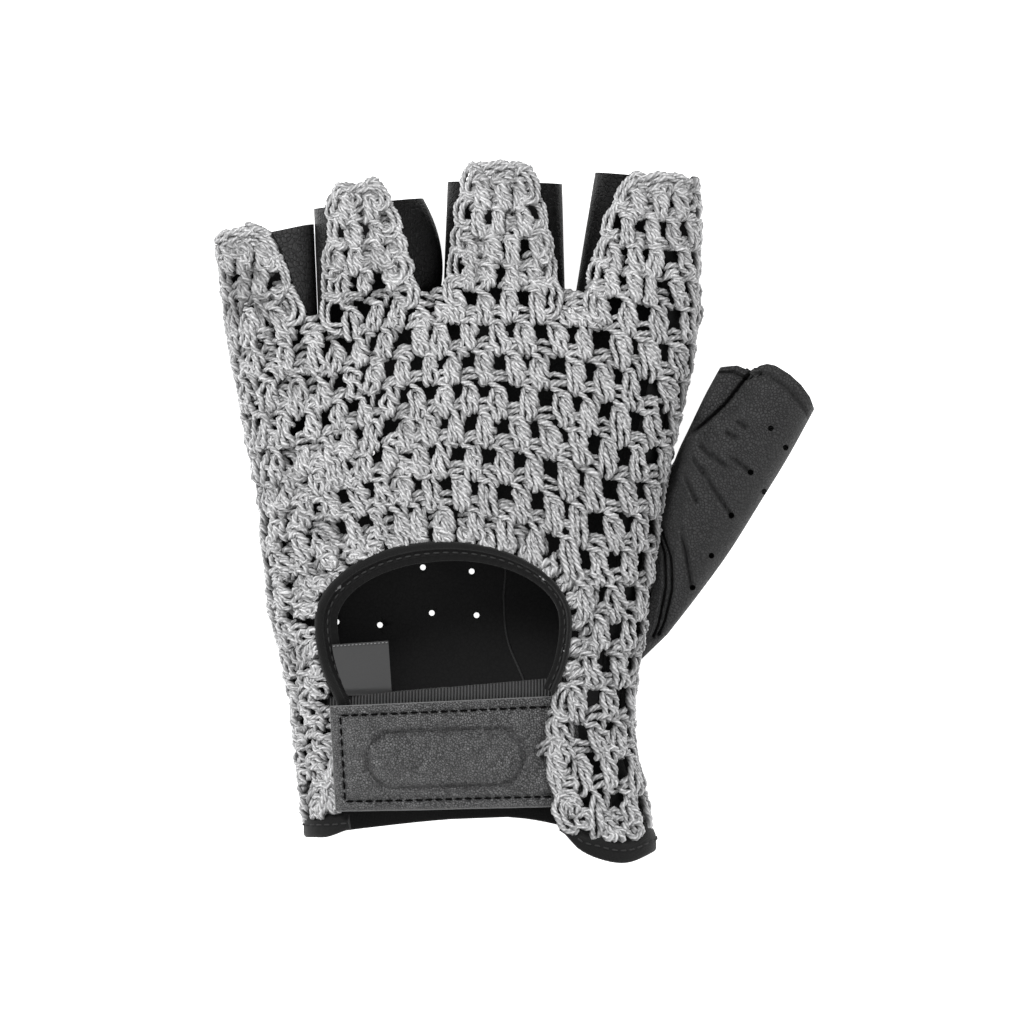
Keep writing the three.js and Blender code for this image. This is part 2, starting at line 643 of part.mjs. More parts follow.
// A point round the thumb, with one long crease beside its far edge
function roundThumb({ left, right, height }, turn, lip) {
  const power = Math.sin(turn) >= 0 ? THUMB_SECTION.top : THUMB_SECTION.under;
  const across = signedPower(Math.cos(turn), 2 / power);
  const rise = signedPower(Math.sin(turn), 2 / power);
  const crease = smooth(-across, -THUMB_FOLD.start, -THUMB_FOLD.end) * smooth(height, 13, 17);
  const z = (height / 2) * (1 + rise) + Math.min(rise, 0) * SETTLE
    - THUMB_FOLD.depth * crease * Math.max(rise, 0) ** 2;
  const out = lip ? lookUp(THUMB_LIP, 'across', 'out', across) : 0;
  const direction = new THREE.Vector2(left[0] - THUMB[0].left[0], left[1] - THUMB[0].left[1]).normalize();
  return new THREE.Vector3(
    lerp(left[0], right[0], (across + 1) / 2) + out * direction.x,
    lerp(left[1], right[1], (across + 1) / 2) + out * direction.y,
    Math.max(z, 0),
  );
}

// Thumb: a tube from its open end back to the side of the hand
function thumb() {
  const turns = Array.from({ length: THUMB_SECTION.points }, (_, k) => (-2 * Math.PI * k) / THUMB_SECTION.points);
  const rings = [...THUMB].reverse().map((section, k) => turns.map((turn) => roundThumb(section, turn, k === 0)));
  rings.push(turns.map(thumbRoot));
  return sheet(rings, LEATHER_THICK, () => true, true);
}

// Edgings

// Binding of the opening: a round piping with a flat facing inside it
function openingBinding() {
  const outline = [[-39.2, -42.4], ...openingEdge(CLEARANCE)];
  const curve = new THREE.CatmullRomCurve3(outline.map(([x, y]) => new THREE.Vector3(x, y, 0)));
  const stops = [];
  for (let k = 0; k <= BINDING_STOPS; k += 1) {
    const at = curve.getPointAt(k / BINDING_STOPS);
    const along = curve.getTangentAt(k / BINDING_STOPS);
    at.z = backHeight(at.x, at.y) - CROCHET_THICK;
    const side = new THREE.Vector3(along.y, -along.x, 0).normalize();
    stops.push({ at, side, up: new THREE.Vector3(0, 0, 1) });
  }
  return sweep(stops, BINDING_PROFILE);
}

// A point on the wrist's edge at a turn round the hand
function hemPoint(turn) {
  const hem = Math.sin(turn) >= 0 ? HEM_BACK : HEM_PALM;
  let y = WRIST_TAPE.backY;
  for (let k = 0; k < 5; k += 1) y = hemY(hem, roundHand(turn, y).x);
  return roundHand(turn, y);
}

// Straight out from the hand's surface at a point of its section
function outward(turn, y) {
  const section = handSection(y);
  const power = Math.sin(turn) >= 0 ? BULGE_TOP : BULGE_UNDER;
  return new THREE.Vector3(
    signedPower(Math.cos(turn), 2 - 2 / power) / section.half,
    0,
    signedPower(Math.sin(turn), 2 - 2 / power) / (section.height / 2),
  ).normalize();
}

// Hem tape round the wrist, from the inner corner of one leg round the palm to that of the other
function wristBinding() {
  const section = handSection(WRIST_TAPE.backY);
  const from = turnAt((WRIST_TAPE.start - section.middle) / section.half);
  const to = turnAt((WRIST_TAPE.end - section.middle) / section.half) - 2 * Math.PI;
  const stops = [];
  for (let k = 0; k <= WRIST_TAPE.stops; k += 1) {
    const turn = lerp(from, to, k / WRIST_TAPE.stops);
    const at = hemPoint(turn);
    const along = hemPoint(turn - 0.03).sub(hemPoint(turn + 0.03)).normalize();
    const up = outward(turn, at.y);
    up.addScaledVector(along, -up.dot(along)).normalize();
    const side = up.clone().cross(along).normalize();
    stops.push({ at, side: side.multiplyScalar(Math.sqrt(1 - along.y ** 2)), up });
  }
  const wide = HEM_TAPE - 3 * CLEARANCE;
  return sweep(stops, [[0, -TAPE_THICK], [wide, -TAPE_THICK], [wide, 0], [0.5, 0], [0, -0.5]]);
}

// Strap and tape

const strapShift = (x) => lerp(CLEARANCE, -(CROCHET_THICK + CLEARANCE + STRAP.thick), smooth(x, -30, 4));
const strapBottom = (x, y) => backHeight(x, y) + strapShift(x);

function flatPiece(left, right, topLeft, topRight, deep, thick, topAt, columns, rows) {
  const grid = [];
  for (let r = 0; r <= rows; r += 1) {
    const row = [];
    for (let c = 0; c <= columns; c += 1) {
      const x = lerp(left, right, c / columns);
      const y = lerp(topLeft, topRight, c / columns) - deep * (r / rows);
      row.push(new THREE.Vector3(x, y, topAt(x, y)));
    }
    grid.push(row);
  }
  return sheet(grid, thick);
}

function strap() {
  const { left, right, topLeft, topRight, deep, thick } = STRAP;
  return flatPiece(left, right, topLeft, topRight, deep, thick, (x, y) => strapBottom(x, y) + thick, 14, 4);
}

function underlap() {
  const { left, right, topLeft, topRight, deep } = UNDERLAP;
  const top = (x, y) => Math.min(
    backHeight(x, y) - CROCHET_THICK - 0.5,
    strapBottom(x, Math.min(y, STRAP.topLeft)) - CLEARANCE - 0.1,
  );
  return flatPiece(left, right, topLeft, topRight, deep, TAPE_THICK, top, 14, 4);
}

function label() {
  const { left, right, top, bottom, thick } = LABEL;
  const height = (x, y) => {
    const lap = backHeight(x, -46) - CROCHET_THICK - 0.5 - TAPE_THICK;
    return lap - CLEARANCE - 0.4 - 0.08 * (y - bottom);
  };
  return flatPiece(left, right, top, top, top - bottom, thick, height, 4, 4);
}

const [pinky, ring, middle, index] = FINGERS;
const glove = new THREE.Group();

function add(name, geometry, material) {
  geometry.computeVertexNormals();
  const mesh = new THREE.Mesh(geometry, material);
  mesh.name = name;
  glove.add(mesh);
}

add('crochet_back', crochetBack(), MATERIALS.crochet);
add('palm', palm(), MATERIALS.palm);
add('fourchette_pinky_ring', fourchette(pinky, ring), MATERIALS.wall);
add('fourchette_ring_middle', fourchette(ring, middle), MATERIALS.wall);
add('fourchette_middle_index', fourchette(middle, index), MATERIALS.wall);
add('thumb', thumb(), MATERIALS.thumb);
add('opening_binding', openingBinding(), MATERIALS.tape);
add('wrist_binding', wristBinding(), MATERIALS.tape);
add('closure_strap', strap(), MATERIALS.strap);
add('strap_underlap', underlap(), MATERIALS.tape);
add('label', label(), MATERIALS.label);

export default glove;
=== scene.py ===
"""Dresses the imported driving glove: cotton crochet back, black leather palm and thumb, bindings and strap.

Run as a script in Blender. Lengths in the shape functions are millimetres, with +X towards the thumb,
+Y along the fingers and +Z out of the back of the hand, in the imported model's frame.
"""
import math
from collections import namedtuple
from functools import partial

import bpy
import numpy as np
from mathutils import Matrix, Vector


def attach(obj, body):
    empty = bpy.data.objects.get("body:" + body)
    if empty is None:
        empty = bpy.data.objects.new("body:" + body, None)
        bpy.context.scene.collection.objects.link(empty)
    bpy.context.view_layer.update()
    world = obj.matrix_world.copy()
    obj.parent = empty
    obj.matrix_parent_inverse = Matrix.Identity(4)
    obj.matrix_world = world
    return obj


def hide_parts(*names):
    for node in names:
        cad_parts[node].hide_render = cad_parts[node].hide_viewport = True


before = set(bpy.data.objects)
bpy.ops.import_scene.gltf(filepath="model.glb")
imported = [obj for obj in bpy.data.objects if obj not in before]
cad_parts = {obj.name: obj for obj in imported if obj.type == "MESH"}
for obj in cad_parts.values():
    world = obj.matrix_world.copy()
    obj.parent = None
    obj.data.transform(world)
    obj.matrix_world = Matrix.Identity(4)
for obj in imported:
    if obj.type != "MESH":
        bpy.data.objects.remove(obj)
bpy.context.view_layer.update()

bl_info = {
    "name": "Driving glove",
    "version": (1, 0, 0),
    "blender": (4, 5, 0),
    "location": "View3D > Sidebar > Glove",
    "description": "Crochet, leather and trim of a fingerless driving glove",
    "category": "Object",
}

MM = 0.001

# Rounded sections: exponents above and below the widest line, height of that line as a share of the whole,
# and how far the underside is pressed flat
TOP_BULGE = 2.4
HAND_UNDER = 4.5
FINGER_UNDER = 3.0
HAND_WIDEST = 0.4
FINGER_WIDEST = 0.45
SETTLE = 0.9
RIM = 0.93  # share of the half width past which crochet is measured down the side
PAST_RIM = 11.5  # how far down the side from there stitches may begin
SEAM_DROP = 0.28  # where crochet meets leather, from the widest line (0) to the table (1)
SEAM_ROOM = 0.4  # crochet stops this far short of the side seam
CROCHET_THICK = 2.2
LEATHER_THICK = 1.2
CLEARANCE = 0.35

HAND = {
    "y": [-80.0, -64.8, -51.3, -37.9, -24.4, -10.9, 2.6, 16.1, 29.6, 41.9, 56.0],
    "left": [-46.2, -47.6, -48.8, -50.7, -54.0, -55.6, -57.0, -59.4, -62.2, -64.8, -66.5],
    "right": [33.0, 30.4, 27.3, 28.2, 30.3, 32.2, 33.8, 36.6, 39.6, 41.9, 42.3],
    "height": [22.4, 23.2, 24.2, 25.4, 26.8, 27.8, 28.2, 28.0, 26.5, 24.5, 22.0],
}

# Each finger: ends of its base and mouth lines and of its crochet strip's two ends, its height, where the
# crochet's rows lie from the tip down to the hand's own, the share of its gaps that are worked over, how far
# its crochet is pressed down, which also darkens it by painted depth shade, the rise of its rounded tip, and
# for one how far its right side swells
FINGERS = {
    "pinky": {
        "base": (-64.8, 42.4, -43.7, 43.0), "mouth": (-67.0, 60.2, -44.6, 64.8),
        "strip_base": (-64.8, 42.0, -46.9, 42.0), "strip_tip": (-67.0, 61.6, -54.6, 62.6),
        "height": 18.5, "rows": (60.6, 55.0, 49.4), "filled": 0.3, "sunk": 0.7, "crown": 1.1,
    },
    "ring": {
        "base": (-43.6, 43.4, -16.1, 49.6), "mouth": (-44.6, 68.2, -20.0, 70.6),
        "strip_base": (-43.4, 42.4, -21.0, 47.6), "strip_tip": (-40.2, 72.4, -28.9, 73.6),
        "height": 19.0, "rows": (71.6, 65.6, 59.6, 53.8), "filled": 0.3, "sunk": 0.35, "crown": 0.1,
        "swell": 2.0,
    },
    "middle": {
        "base": (-15.4, 50.0, 11.9, 49.2), "mouth": (-14.5, 74.3, 11.3, 73.8),
        "strip_base": (-15.6, 48.6, 10.8, 47.8), "strip_tip": (-9.3, 78.2, 4.2, 78.2),
        "height": 19.5, "rows": (75.6, 69.4, 63.2, 57.0), "filled": 0.2, "sunk": 0.15, "crown": 0.1,
    },
    "index": {
        "base": (14.2, 48.6, 42.0, 45.6), "mouth": (18.7, 76.4, 42.2, 74.2),
        "strip_base": (15.9, 47.4, 41.9, 44.8), "strip_tip": (26.6, 75.4, 40.2, 75.6),
        "height": 19.0, "rows": (73.4, 67.4, 61.4, 55.4), "filled": 0.15, "sunk": 0.0, "crown": 0.2,
    },
}
ORDER = ("pinky", "ring", "middle", "index")

# The thumb's tube from the hand to its open end: its two edges from above, and its height
THUMB = {
    "left_x": [36.6, 37.9, 39.6, 41.5, 43.7, 46.3], "left_y": [11.6, 14.8, 18.3, 22.3, 26.8, 31.4],
    "right_x": [35.0, 41.8, 48.9, 55.9, 62.1, 67.9], "right_y": [-27.6, -18.8, -9.0, 2.2, 12.3, 22.8],
    "height": [13.5, 15.5, 16.8, 17.2, 17.2, 16.8],
}
THUMB_ROOT = {"top": 8.2, "bottom": -33.6, "low": 1.1, "high": 11.6, "reach": 0.1}
THUMB_LIP = {
    "across": [-1.0, -0.9, -0.72, -0.38, -0.34, -0.22, -0.06, 0.27, 0.55, 0.81, 1.0],
    "out": [1.2, 2.0, 3.1, 3.0, 4.8, 5.9, 6.2, 5.5, 4.3, 2.5, 0.3],
}
# Where the near layer folds over the far one: from a share of the length on, how far across, how much lower
# the far layer lies and how deep the fold between them is tucked in
THUMB_FOLD = {"start": 0.28, "reach": 0.63, "low": 5.0, "tuck": 2.0}
THUMB_TOP = 2.3  # exponents of the thumb's section above and below its widest line
THUMB_UNDER = 3.0
THUMB_LONG = 43.0
THUMB_HEM = 1.9

# Marks pressed into the thumb's leather, in mm: a crease with its ridge, the hem's groove and the base
# seam's. Then the lines of the creases, each deepest at its last point, and of the double seam.
CREASE = {"deep": 1.2, "wide": 0.36, "fade": 0.35, "ridge": 0.22, "ridge_away": 1.1, "ridge_wide": 0.7}
HEM_GROOVE = {"deep": 1.1, "wide": 0.34, "rise": 0.3}
SEAM_GROOVE = {"deep": 1.3, "wide": 0.45}
THUMB_CREASES = (
    [(42.7, 9.6), (45.0, 5.6), (47.6, 1.8), (49.3, -0.8)],
    [(37.6, -2.9), (39.2, -9.3), (40.3, -16.2)],
    [(48.2, 13.0), (51.9, 10.3), (53.3, 9.0)],
    [(44.0, 13.6), (48.0, 10.2)],
    [(38.4, 8.6), (41.5, 2.4)],
    [(47.5, 18.2), (50.3, 16.6)],
    [(49.8, 20.6), (52.6, 19.0)],
    [(42.0, 15.4), (44.6, 12.4)],
    [(40.2, 12.4), (43.2, 8.6)],
)
THUMB_SEAMS = (
    [(32.4, -3.6), (34.4, -9.4), (34.6, -17.0), (33.0, -25.0), (31.8, -28.0)],
    [(33.5, -3.6), (35.8, -10.4), (36.0, -17.4), (34.4, -24.4), (33.0, -27.6)],
)

# Air holes, and the seam that shows on the palm's inside through the opening
PALM_HOLES = [(-20.1, -12.5), (-9.1, -13.4), (-18.1, -22.8), (-8.0, -23.3), (-29.8, -25.5), (-39.6, -24.8),
              (-31.6, 13.4), (-10.4, -4.8), (-20.6, -2.4), (-24.3, 8.0), (-13.0, 7.6)]
THUMB_HOLES = [(58.1, 18.8), (61.5, 14.5), (53.6, 8.9), (56.7, 4.6), (49.3, -0.8), (44.8, -9.8),
               (40.6, -17.0)]
ALLOWANCE = {"foot": -68, "top": -4.0, "low": 11.0, "inside": 3.0, "thick": 0.5}  # below the outer seams
INNER_SEAM = [(-1.3, -6.0), (-1.5, -14.3), (-1.9, -19.9), (-1.0, -28.9), (2.6, -37.9), (5.0, -46.0)]

# The opening over the hand, the inner edges of the legs beside the wrist's opening, and the wrist's hem
OPENING = {"x": -15.4, "y": -24.8, "half": 29.2, "above": 18.6, "below": 32.0}
LEFT_LEG_EDGE = [(-39.2, -43.0), (-38.4, -52.0), (-38.0, -61.0), (-38.6, -68.0)]
RIGHT_LEG_EDGE = [(9.3, -38.2), (8.0, -44.0), (7.6, -52.0), (8.2, -60.0), (10.2, -68.0)]
HEM_BACK = {"x": [-46.5, -40.0, -34.0, 11.0, 15.0, 20.0, 26.0, 33.0],
            "y": [-73.2, -73.0, -71.9, -71.6, -75.6, -78.0, -78.8, -76.2]}
HEM_PALM = {"x": [-46.5, -33.0, -12.0, 0.0, 10.0, 20.0, 33.0],
            "y": [-73.2, -71.4, -69.3, -69.0, -70.6, -73.8, -76.2]}
HEM_ENDS = (-46.5, 33.0)
HEM_TAPE = 4.2
LEGS_FROM = -37  # below this the back is two legs

# Crochet lattice on the hand: gaps in sheared rows that arch over the knuckles
MESH = {
    "pitch": 6.85, "drift": -2.92, "origin_x": 13.6, "origin_column": 4, "crown_column": 1, "crown_y": 48.2,
    "row_pitch": 6.9, "arch": 0.135, "spread": 0.0225, "spread_limit": 36, "crowded_from": 1.6,
    "crowding": 0.94, "leg_row": 5.5, "leg_shift": 3.4, "leg_blend": 3.0,
}
BAR_BELOW_GAP = 4.0
LOOP_PITCH = 6.2  # of the long loops down an edge

# Stitches are drawn in units of a thirtieth of a stitch's width, on these steps: to the next stitch of the
# row, and down to the middle of the two stitches below. Every real stitch is sheared and stretched from
# them to its own place in the net.
ACROSS = (30.5, -6.0)
DOWN = (3.0, -42.0)

# Three ways a stitch lies: each strand's control points as (right, up) in drawing units and out in mm,
# from the middle of its bar
STITCHES = (
    {
        "back_bar": [(-11, 3, -1.5), (-3, 7, -1.0), (3, 8, -0.9), (12, 5, -1.5)],
        "low_bar": [(2, -3, -1.2), (8, -5, -0.6), (12, -9, -0.8), (15, -12, -1.5)],
        "bar": [(-13, -6, -1.4), (-4, -1, -0.8), (3, 0, -0.7), (12, -4, -1.3)],
        "wrap": [(-10, -3, -1.2), (-6, -7, -0.5), (-1, -11, -0.2), (3, -19, -0.1), (7, -27, -0.3),
                 (9, -33, -0.8), (11, -38, -1.5)],
        "side": [(4, -4, -1.3), (7, -11, -1.0), (8, -20, -1.0), (9, -28, -1.4)],
        "left_leg": [(-3, -11, -1.3), (-5, -18, -0.8), (-6, -27, -0.4), (-5, -36, -0.2), (-3, -43, -0.2),
                     (-2, -48, -0.6), (-1, -51, -1.5)],
        "right_leg": [(0, -17, -1.2), (1, -26, -0.6), (4, -35, -0.3), (8, -42, -0.2), (9, -47, -0.5),
                     (9, -50, -1.4)],
        "core": [(-2, -16, -1.1), (-1, -26, -0.6), (1, -35, -0.3), (3, -43, -0.2), (3, -49, -0.6),
                     (3, -52, -1.5)],
    },
    {
        "back_bar": [(-11, 6, -1.4), (-4, 9, -0.8), (3, 7, -0.7), (13, 3, -1.3)],
        "bar": [(-14, -4, -1.4), (-6, -1, -0.8), (2, -1, -0.6), (13, -3, -1.4)],
        "wrap": [(-8, -5, -1.0), (-3, -8, -0.4), (3, -11, -0.1), (7, -17, 0.0), (10, -25, -0.2),
                 (11, -31, -0.9), (12, -36, -1.5)],
        "under_wrap": [(-3, -12, -1.0), (2, -15, -0.5), (6, -21, -0.4), (8, -29, -0.5), (9, -36, -1.2)],
        "left_leg": [(-5, -11, -1.2), (-5, -20, -0.6), (-5, -30, -0.3), (-3, -39, -0.1), (-2, -46, -0.3),
                     (-1, -50, -1.3)],
        "right_leg": [(2, -16, -1.0), (4, -26, -0.5), (7, -35, -0.2), (10, -42, -0.2), (10, -46, -0.5),
                     (9, -49, -1.4)],
        "core": [(-1, -18, -1.1), (1, -29, -0.4), (3, -38, -0.1), (4, -47, -0.2), (4, -51, -0.6),
                     (4, -54, -1.5)],
    },
    {
        "back_bar": [(-10, 9, -1.5), (-1, 9, -1.1), (6, 6, -0.9), (14, 1, -1.4)],
        "low_bar": [(-15, -5, -1.5), (-10, -2, -0.8), (-6, -4, -0.8), (-3, -8, -1.3)],
        "bar": [(-13, 3, -1.4), (-4, 4, -0.8), (4, 0, -0.5), (7, -8, -0.6), (8, -16, -1.2)],
        "tie": [(-12, -5, -1.3), (-6, -8, -0.5), (0, -9, -0.1), (4, -15, -0.1), (6, -24, -0.4),
                     (9, -31, -1.3)],
        "left_leg": [(-5, -9, -1.2), (-6, -16, -0.5), (-6, -26, -0.3), (-5, -36, -0.1), (-4, -44, -0.2),
                     (-3, -49, -0.5), (-2, -52, -1.5)],
        "right_leg": [(4, -18, -1.2), (4, -27, -0.2), (7, -36, -0.1), (9, -42, -0.1), (9, -47, -0.5),
                     (8, -50, -1.4)],
        "core": [(-2, -12, -1.0), (-1, -22, -0.4), (0, -33, -0.2), (2, -42, -0.3), (3, -47, -0.5),
                     (4, -50, -1.4)],
    },
)
STITCH_SHARES = (0.4, 0.35, 0.25)

# Two nested loops under a bar: the net's knots where it is crowded and along its edges
KNOTS = (
    {
        "bar": [(-13, 8, -1.7), (-5, 12, -1.0), (5, 12, -0.9), (13, 7, -1.6)],
        "outer": [(-9, 7, -1.5), (-11, -2, -0.8), (-8, -11, -0.4), (0, -15, -0.2), (8, -12, -0.4),
                  (11, -3, -0.8), (9, 7, -1.5)],
        "inner": [(-4, 9, -1.2), (-5, 0, -0.5), (-1, -7, -0.2), (4, -6, -0.3), (6, 1, -0.6), (4, 9, -1.3)],
    },
    {
        "bar": [(-12, 5, -1.7), (-6, 9, -0.9), (1, 10, -0.6), (8, 6, -0.8), (11, -1, -1.5)],
        "outer": [(-10, 4, -1.5), (-10, -6, -0.7), (-4, -14, -0.3), (4, -14, -0.2), (9, -7, -0.5),
                  (8, 2, -1.4)],
        "across": [(-9, -1, -1.1), (-4, 3, -0.2), (2, 1, 0.0), (5, -6, -0.4), (3, -12, -1.2)],
        "core": [(-4, -4, -1.2), (1, -7, -0.8), (4, -11, -1.0)],
    },
)

# A long loop down the side of a finger's strip, drawn from the top of its row, out to the right
EDGE_LOOP = {
    "outer": [(-8, 5, -1.5), (-1, 4, -0.9), (5, -3, -0.7), (8, -14, -0.7), (7, -26, -0.7), (3, -36, -0.6),
              (-4, -42, -0.6), (-10, -39, -1.3)],
    "inner": [(-9, 0, -1.4), (-3, -3, -0.8), (1, -11, -0.5), (1, -22, -0.5), (-1, -31, -0.4), (-6, -36, -0.5),
              (-10, -33, -1.2)],
    "tie": [(-11, -7, -1.4), (-5, 1, -0.6), (2, 5, -0.7), (7, 2, -1.4)],
}
UNIT = 0.2247  # mm of glove for a drawing unit

# A strand that thickens a finger's bars
FINGER_BAR = {"bar": [(-16, -6, -1.4), (-6, -4, -0.8), (4, -8, -0.7), (15, -13, -1.4)]}

# Columns of a stitch's row of numbers: its place, its steps across and down, the share of its post that
# fits and how loosely it lies
PLACE, STEP, DROP, FIT, LOOSE = slice(0, 2), slice(2, 4), slice(4, 6), 6, 7


# Shapes

def follow(table, key, at, along):
    """Smooth curve through a table's values: a cubic through neighbouring rows whose slope at each row is
    the mean of the two beside it, and a straight line past either end."""
    places = np.asarray(table[along], float)
    values = np.asarray(table[key], float)
    slopes = np.diff(values) / np.diff(places)
    tangents = np.concatenate(([slopes[0]], (slopes[1:] + slopes[:-1]) / 2, [slopes[-1]]))
    k = np.clip(np.searchsorted(places, at) - 1, 0, len(places) - 2)
    span = places[k + 1] - places[k]
    t = (at - places[k]) / span
    straight = values[k] + (values[k + 1] - values[k]) * t
    blend = values[k] + (values[k + 1] - values[k]) * t * t * (3 - 2 * t)
    bend = span * (tangents[k] * t * (1 - t) ** 2 - tangents[k + 1] * t * t * (1 - t))
    return np.where((t < 0) | (t > 1), straight, blend + bend)


def signed_power(value, power):
    """A power of a number's size that keeps its sign."""
    return np.sign(value) * np.abs(value) ** power


def smooth(value, low, high):
    """Rises from 0 at low to 1 at high along 3t^2 - 2t^3."""
    t = np.clip((value - low) / (high - low), 0, 1)
    return t * t * (3 - 2 * t)


def unit(vectors):
    """Vectors divided by their own lengths."""
    return vectors / np.maximum(np.linalg.norm(vectors, axis=-1, keepdims=True), 1e-9)


def hand_section(y):
    """Middle, half width, height and widest line of the hand's section at a place along it."""
    left, right, height = (follow(HAND, key, y, "y") for key in ("left", "right", "height"))
    return (left + right) / 2, (right - left) / 2, height, height * HAND_WIDEST


def finger_section(finger, share):
    """Centre, half-width vector, height and widest line of a finger's section: share 0 at its base and 1 at
    its mouth."""
    share = np.asarray(share, float)
    lines = [b + (m - b) * share for b, m in zip(finger["base"], finger["mouth"])]
    within = np.clip(share, 0, 1)
    lines[2] = lines[2] + finger.get("swell", 0.0) * 4 * within * (1 - within)
    left = np.stack(lines[:2], -1)
    right = np.stack(lines[2:], -1)
    base_x = (finger["base"][0] + finger["base"][2]) / 2
    base_height = min(float(back_height(base_x, finger["base"][1])), finger["height"] + 3)
    height = base_height + (finger["height"] - base_height) * smooth(share, 0, 1)
    return (left + right) / 2, (right - left) / 2, height, height * FINGER_WIDEST


def bow(share, power):
    """Rise of a superellipse over a share of its half width: the root of 1 less the share's power."""
    return (1 - share ** power) ** (1 / power)


def back_height(x, y):
    """Height of the back of the hand over the table: a superellipse above the widest line."""
    middle, half, height, widest = hand_section(np.asarray(y, float))
    t = np.clip(np.abs((x - middle) / half), 0, 1)
    return widest + (height - widest) * bow(t, TOP_BULGE)


def across_at(z, height, widest, under):
    """How far across a rounded section reaches at a height, as a share of its half width, and how far up or
    down from its widest line that is."""
    above = np.clip((z - widest) / (height - widest), 0, 1)
    below = np.clip((widest - z) / (widest + SETTLE), 0, 1)
    return np.where(z > widest, bow(above, TOP_BULGE), bow(below, under)), above, below


def over_the_top(q, half, height, widest, under):
    """Lays a sideways distance q over a rounded section: straight across as far as the rim, then down the
    side at the same rate. Gives the sideways place, the height and the outward direction's two parts."""
    side = np.where(q < 0, -1.0, 1.0)
    share = np.abs(q) / half
    over = np.maximum(share - RIM, 0) * half
    tall = height - widest
    crown = widest + tall * bow(np.minimum(share, RIM), TOP_BULGE)
    z = np.maximum(crown - over, 0.8)
    reach, above, below = across_at(z, height, widest, under)
    across = np.where(over > 0, reach, share)
    nx = np.where(z > widest, across ** (TOP_BULGE - 1), across ** (under - 1)) / half
    nz = np.where(z > widest, above ** (TOP_BULGE - 1) / tall, -below ** (under - 1) / (widest + SETTLE))
    size = np.hypot(nx, nz)
    return side * across * half, z, side * nx / size, nz / size


def seam_reach(half, height, widest):
    """Distance over a rounded section, measured as over_the_top does, from its middle to the side seam."""
    crown = widest + (height - widest) * bow(RIM, TOP_BULGE)
    return RIM * half + crown - widest + SEAM_DROP * (widest + SETTLE)


def on_hand(x, y, out):
    """A point and its outward direction on the back of the hand, out mm proud of it."""
    middle, half, height, widest = hand_section(y)
    reach = seam_reach(half, height, widest) - SEAM_ROOM
    q = np.clip(x - middle, -reach, reach)
    place, z, nx, nz = over_the_top(q, half, height, widest, HAND_UNDER)
    at = np.stack([middle + place + nx * out, y, z + nz * out], -1)
    return at, np.stack([nx, np.zeros_like(nx), nz], -1)


def on_finger(name):
    """A function like on_hand for one finger, which passes into the hand's surface at the finger's base."""
    finger = FINGERS[name]
    ax, ay, bx, by = finger["base"]
    _, cy, _, dy = finger["mouth"]

    def place(x, y, out):
        u = np.clip((x - ax) / (bx - ax), 0, 1)
        base = ay + (by - ay) * u
        share = (y - base) / (cy + (dy - cy) * u - base)
        centre, reach, height, widest = finger_section(finger, share)
        half = np.linalg.norm(reach, axis=-1)
        q = ((x - centre[..., 0]) * reach[..., 0] + (y - centre[..., 1]) * reach[..., 1]) / half
        seam = seam_reach(half, height, widest) - SEAM_ROOM
        left = -seam if name == "pinky" else -1.1 * half
        right = seam if name == "index" else 1.1 * half
        across, z, nx, nz = over_the_top(np.clip(q, left, right), half, height, widest, FINGER_UNDER)
        at = np.stack([centre[..., 0] + across + nx * out, y, z + nz * out], -1)
        normal = np.stack([nx, np.zeros_like(nx), nz], -1)
        hand_at, hand_normal = on_hand(x, y, out)
        weight = smooth(share, 0.0, 0.25)[..., None]
        return at * weight + hand_at * (1 - weight), unit(normal * weight + hand_normal * (1 - weight))

    return place


def drop_turn(drop, power):
    """The turn past the widest line at which a section has gone down a share of the way to the table."""
    return np.arcsin(np.asarray(drop, float) ** (power / 2))


def section_point(turn, height, widest, under):
    """Share across and height of a rounded section at a turn: each goes with a power of its cosine or sine,
    and the section is pressed flat at the table."""
    power = np.where(np.sin(turn) >= 0, TOP_BULGE, under)
    rise = signed_power(np.sin(turn), 2 / power)
    reach = np.where(rise >= 0, height - widest, widest + SETTLE)
    return signed_power(np.cos(turn), 2 / power), np.maximum(widest + rise * reach, 0)


def round_hand(turn, y):
    """A point round the hand's whole section, counted from the thumb side over the back."""
    middle, half, height, widest = hand_section(y)
    across, z = section_point(turn, height, widest, HAND_UNDER)
    return np.stack([middle + half * across, y + 0 * across, z], -1)


def round_finger(name, share, turn):
    """A point round a finger's section, counted as round the hand."""
    centre, reach, height, widest = finger_section(FINGERS[name], share)
    across, z = section_point(turn, height, widest, FINGER_UNDER)
    return np.concatenate([centre + reach * across[..., None], z[..., None]], -1)


def strip_edges(name, share):
    """The crochet strip's two edges on a finger, narrowing late: share 0 at its base, 1 at its tip."""
    finger = FINGERS[name]
    share = np.asarray(share, float)
    narrow = share * 0.55 + 0.45 * share ** 3
    ax, ay, bx, by = finger["strip_base"]
    cx, cy, dx, dy = finger["strip_tip"]
    left = np.stack([ax + (cx - ax) * narrow, ay + (cy - ay) * share], -1)
    right = np.stack([bx + (dx - bx) * narrow, by + (dy - by) * share], -1)
    return left, right


def strip_share(name, y):
    """How far up its crochet strip a place on a finger lies."""
    base, tip = FINGERS[name]["strip_base"][1], FINGERS[name]["strip_tip"][1]
    return (y - base) / (tip - base)


def strip_length(name):
    """A finger's crochet strip, as a share of its leather tube's length."""
    finger = FINGERS[name]
    return (finger["strip_tip"][1] - finger["strip_base"][1]) / (finger["mouth"][1] - finger["base"][1])


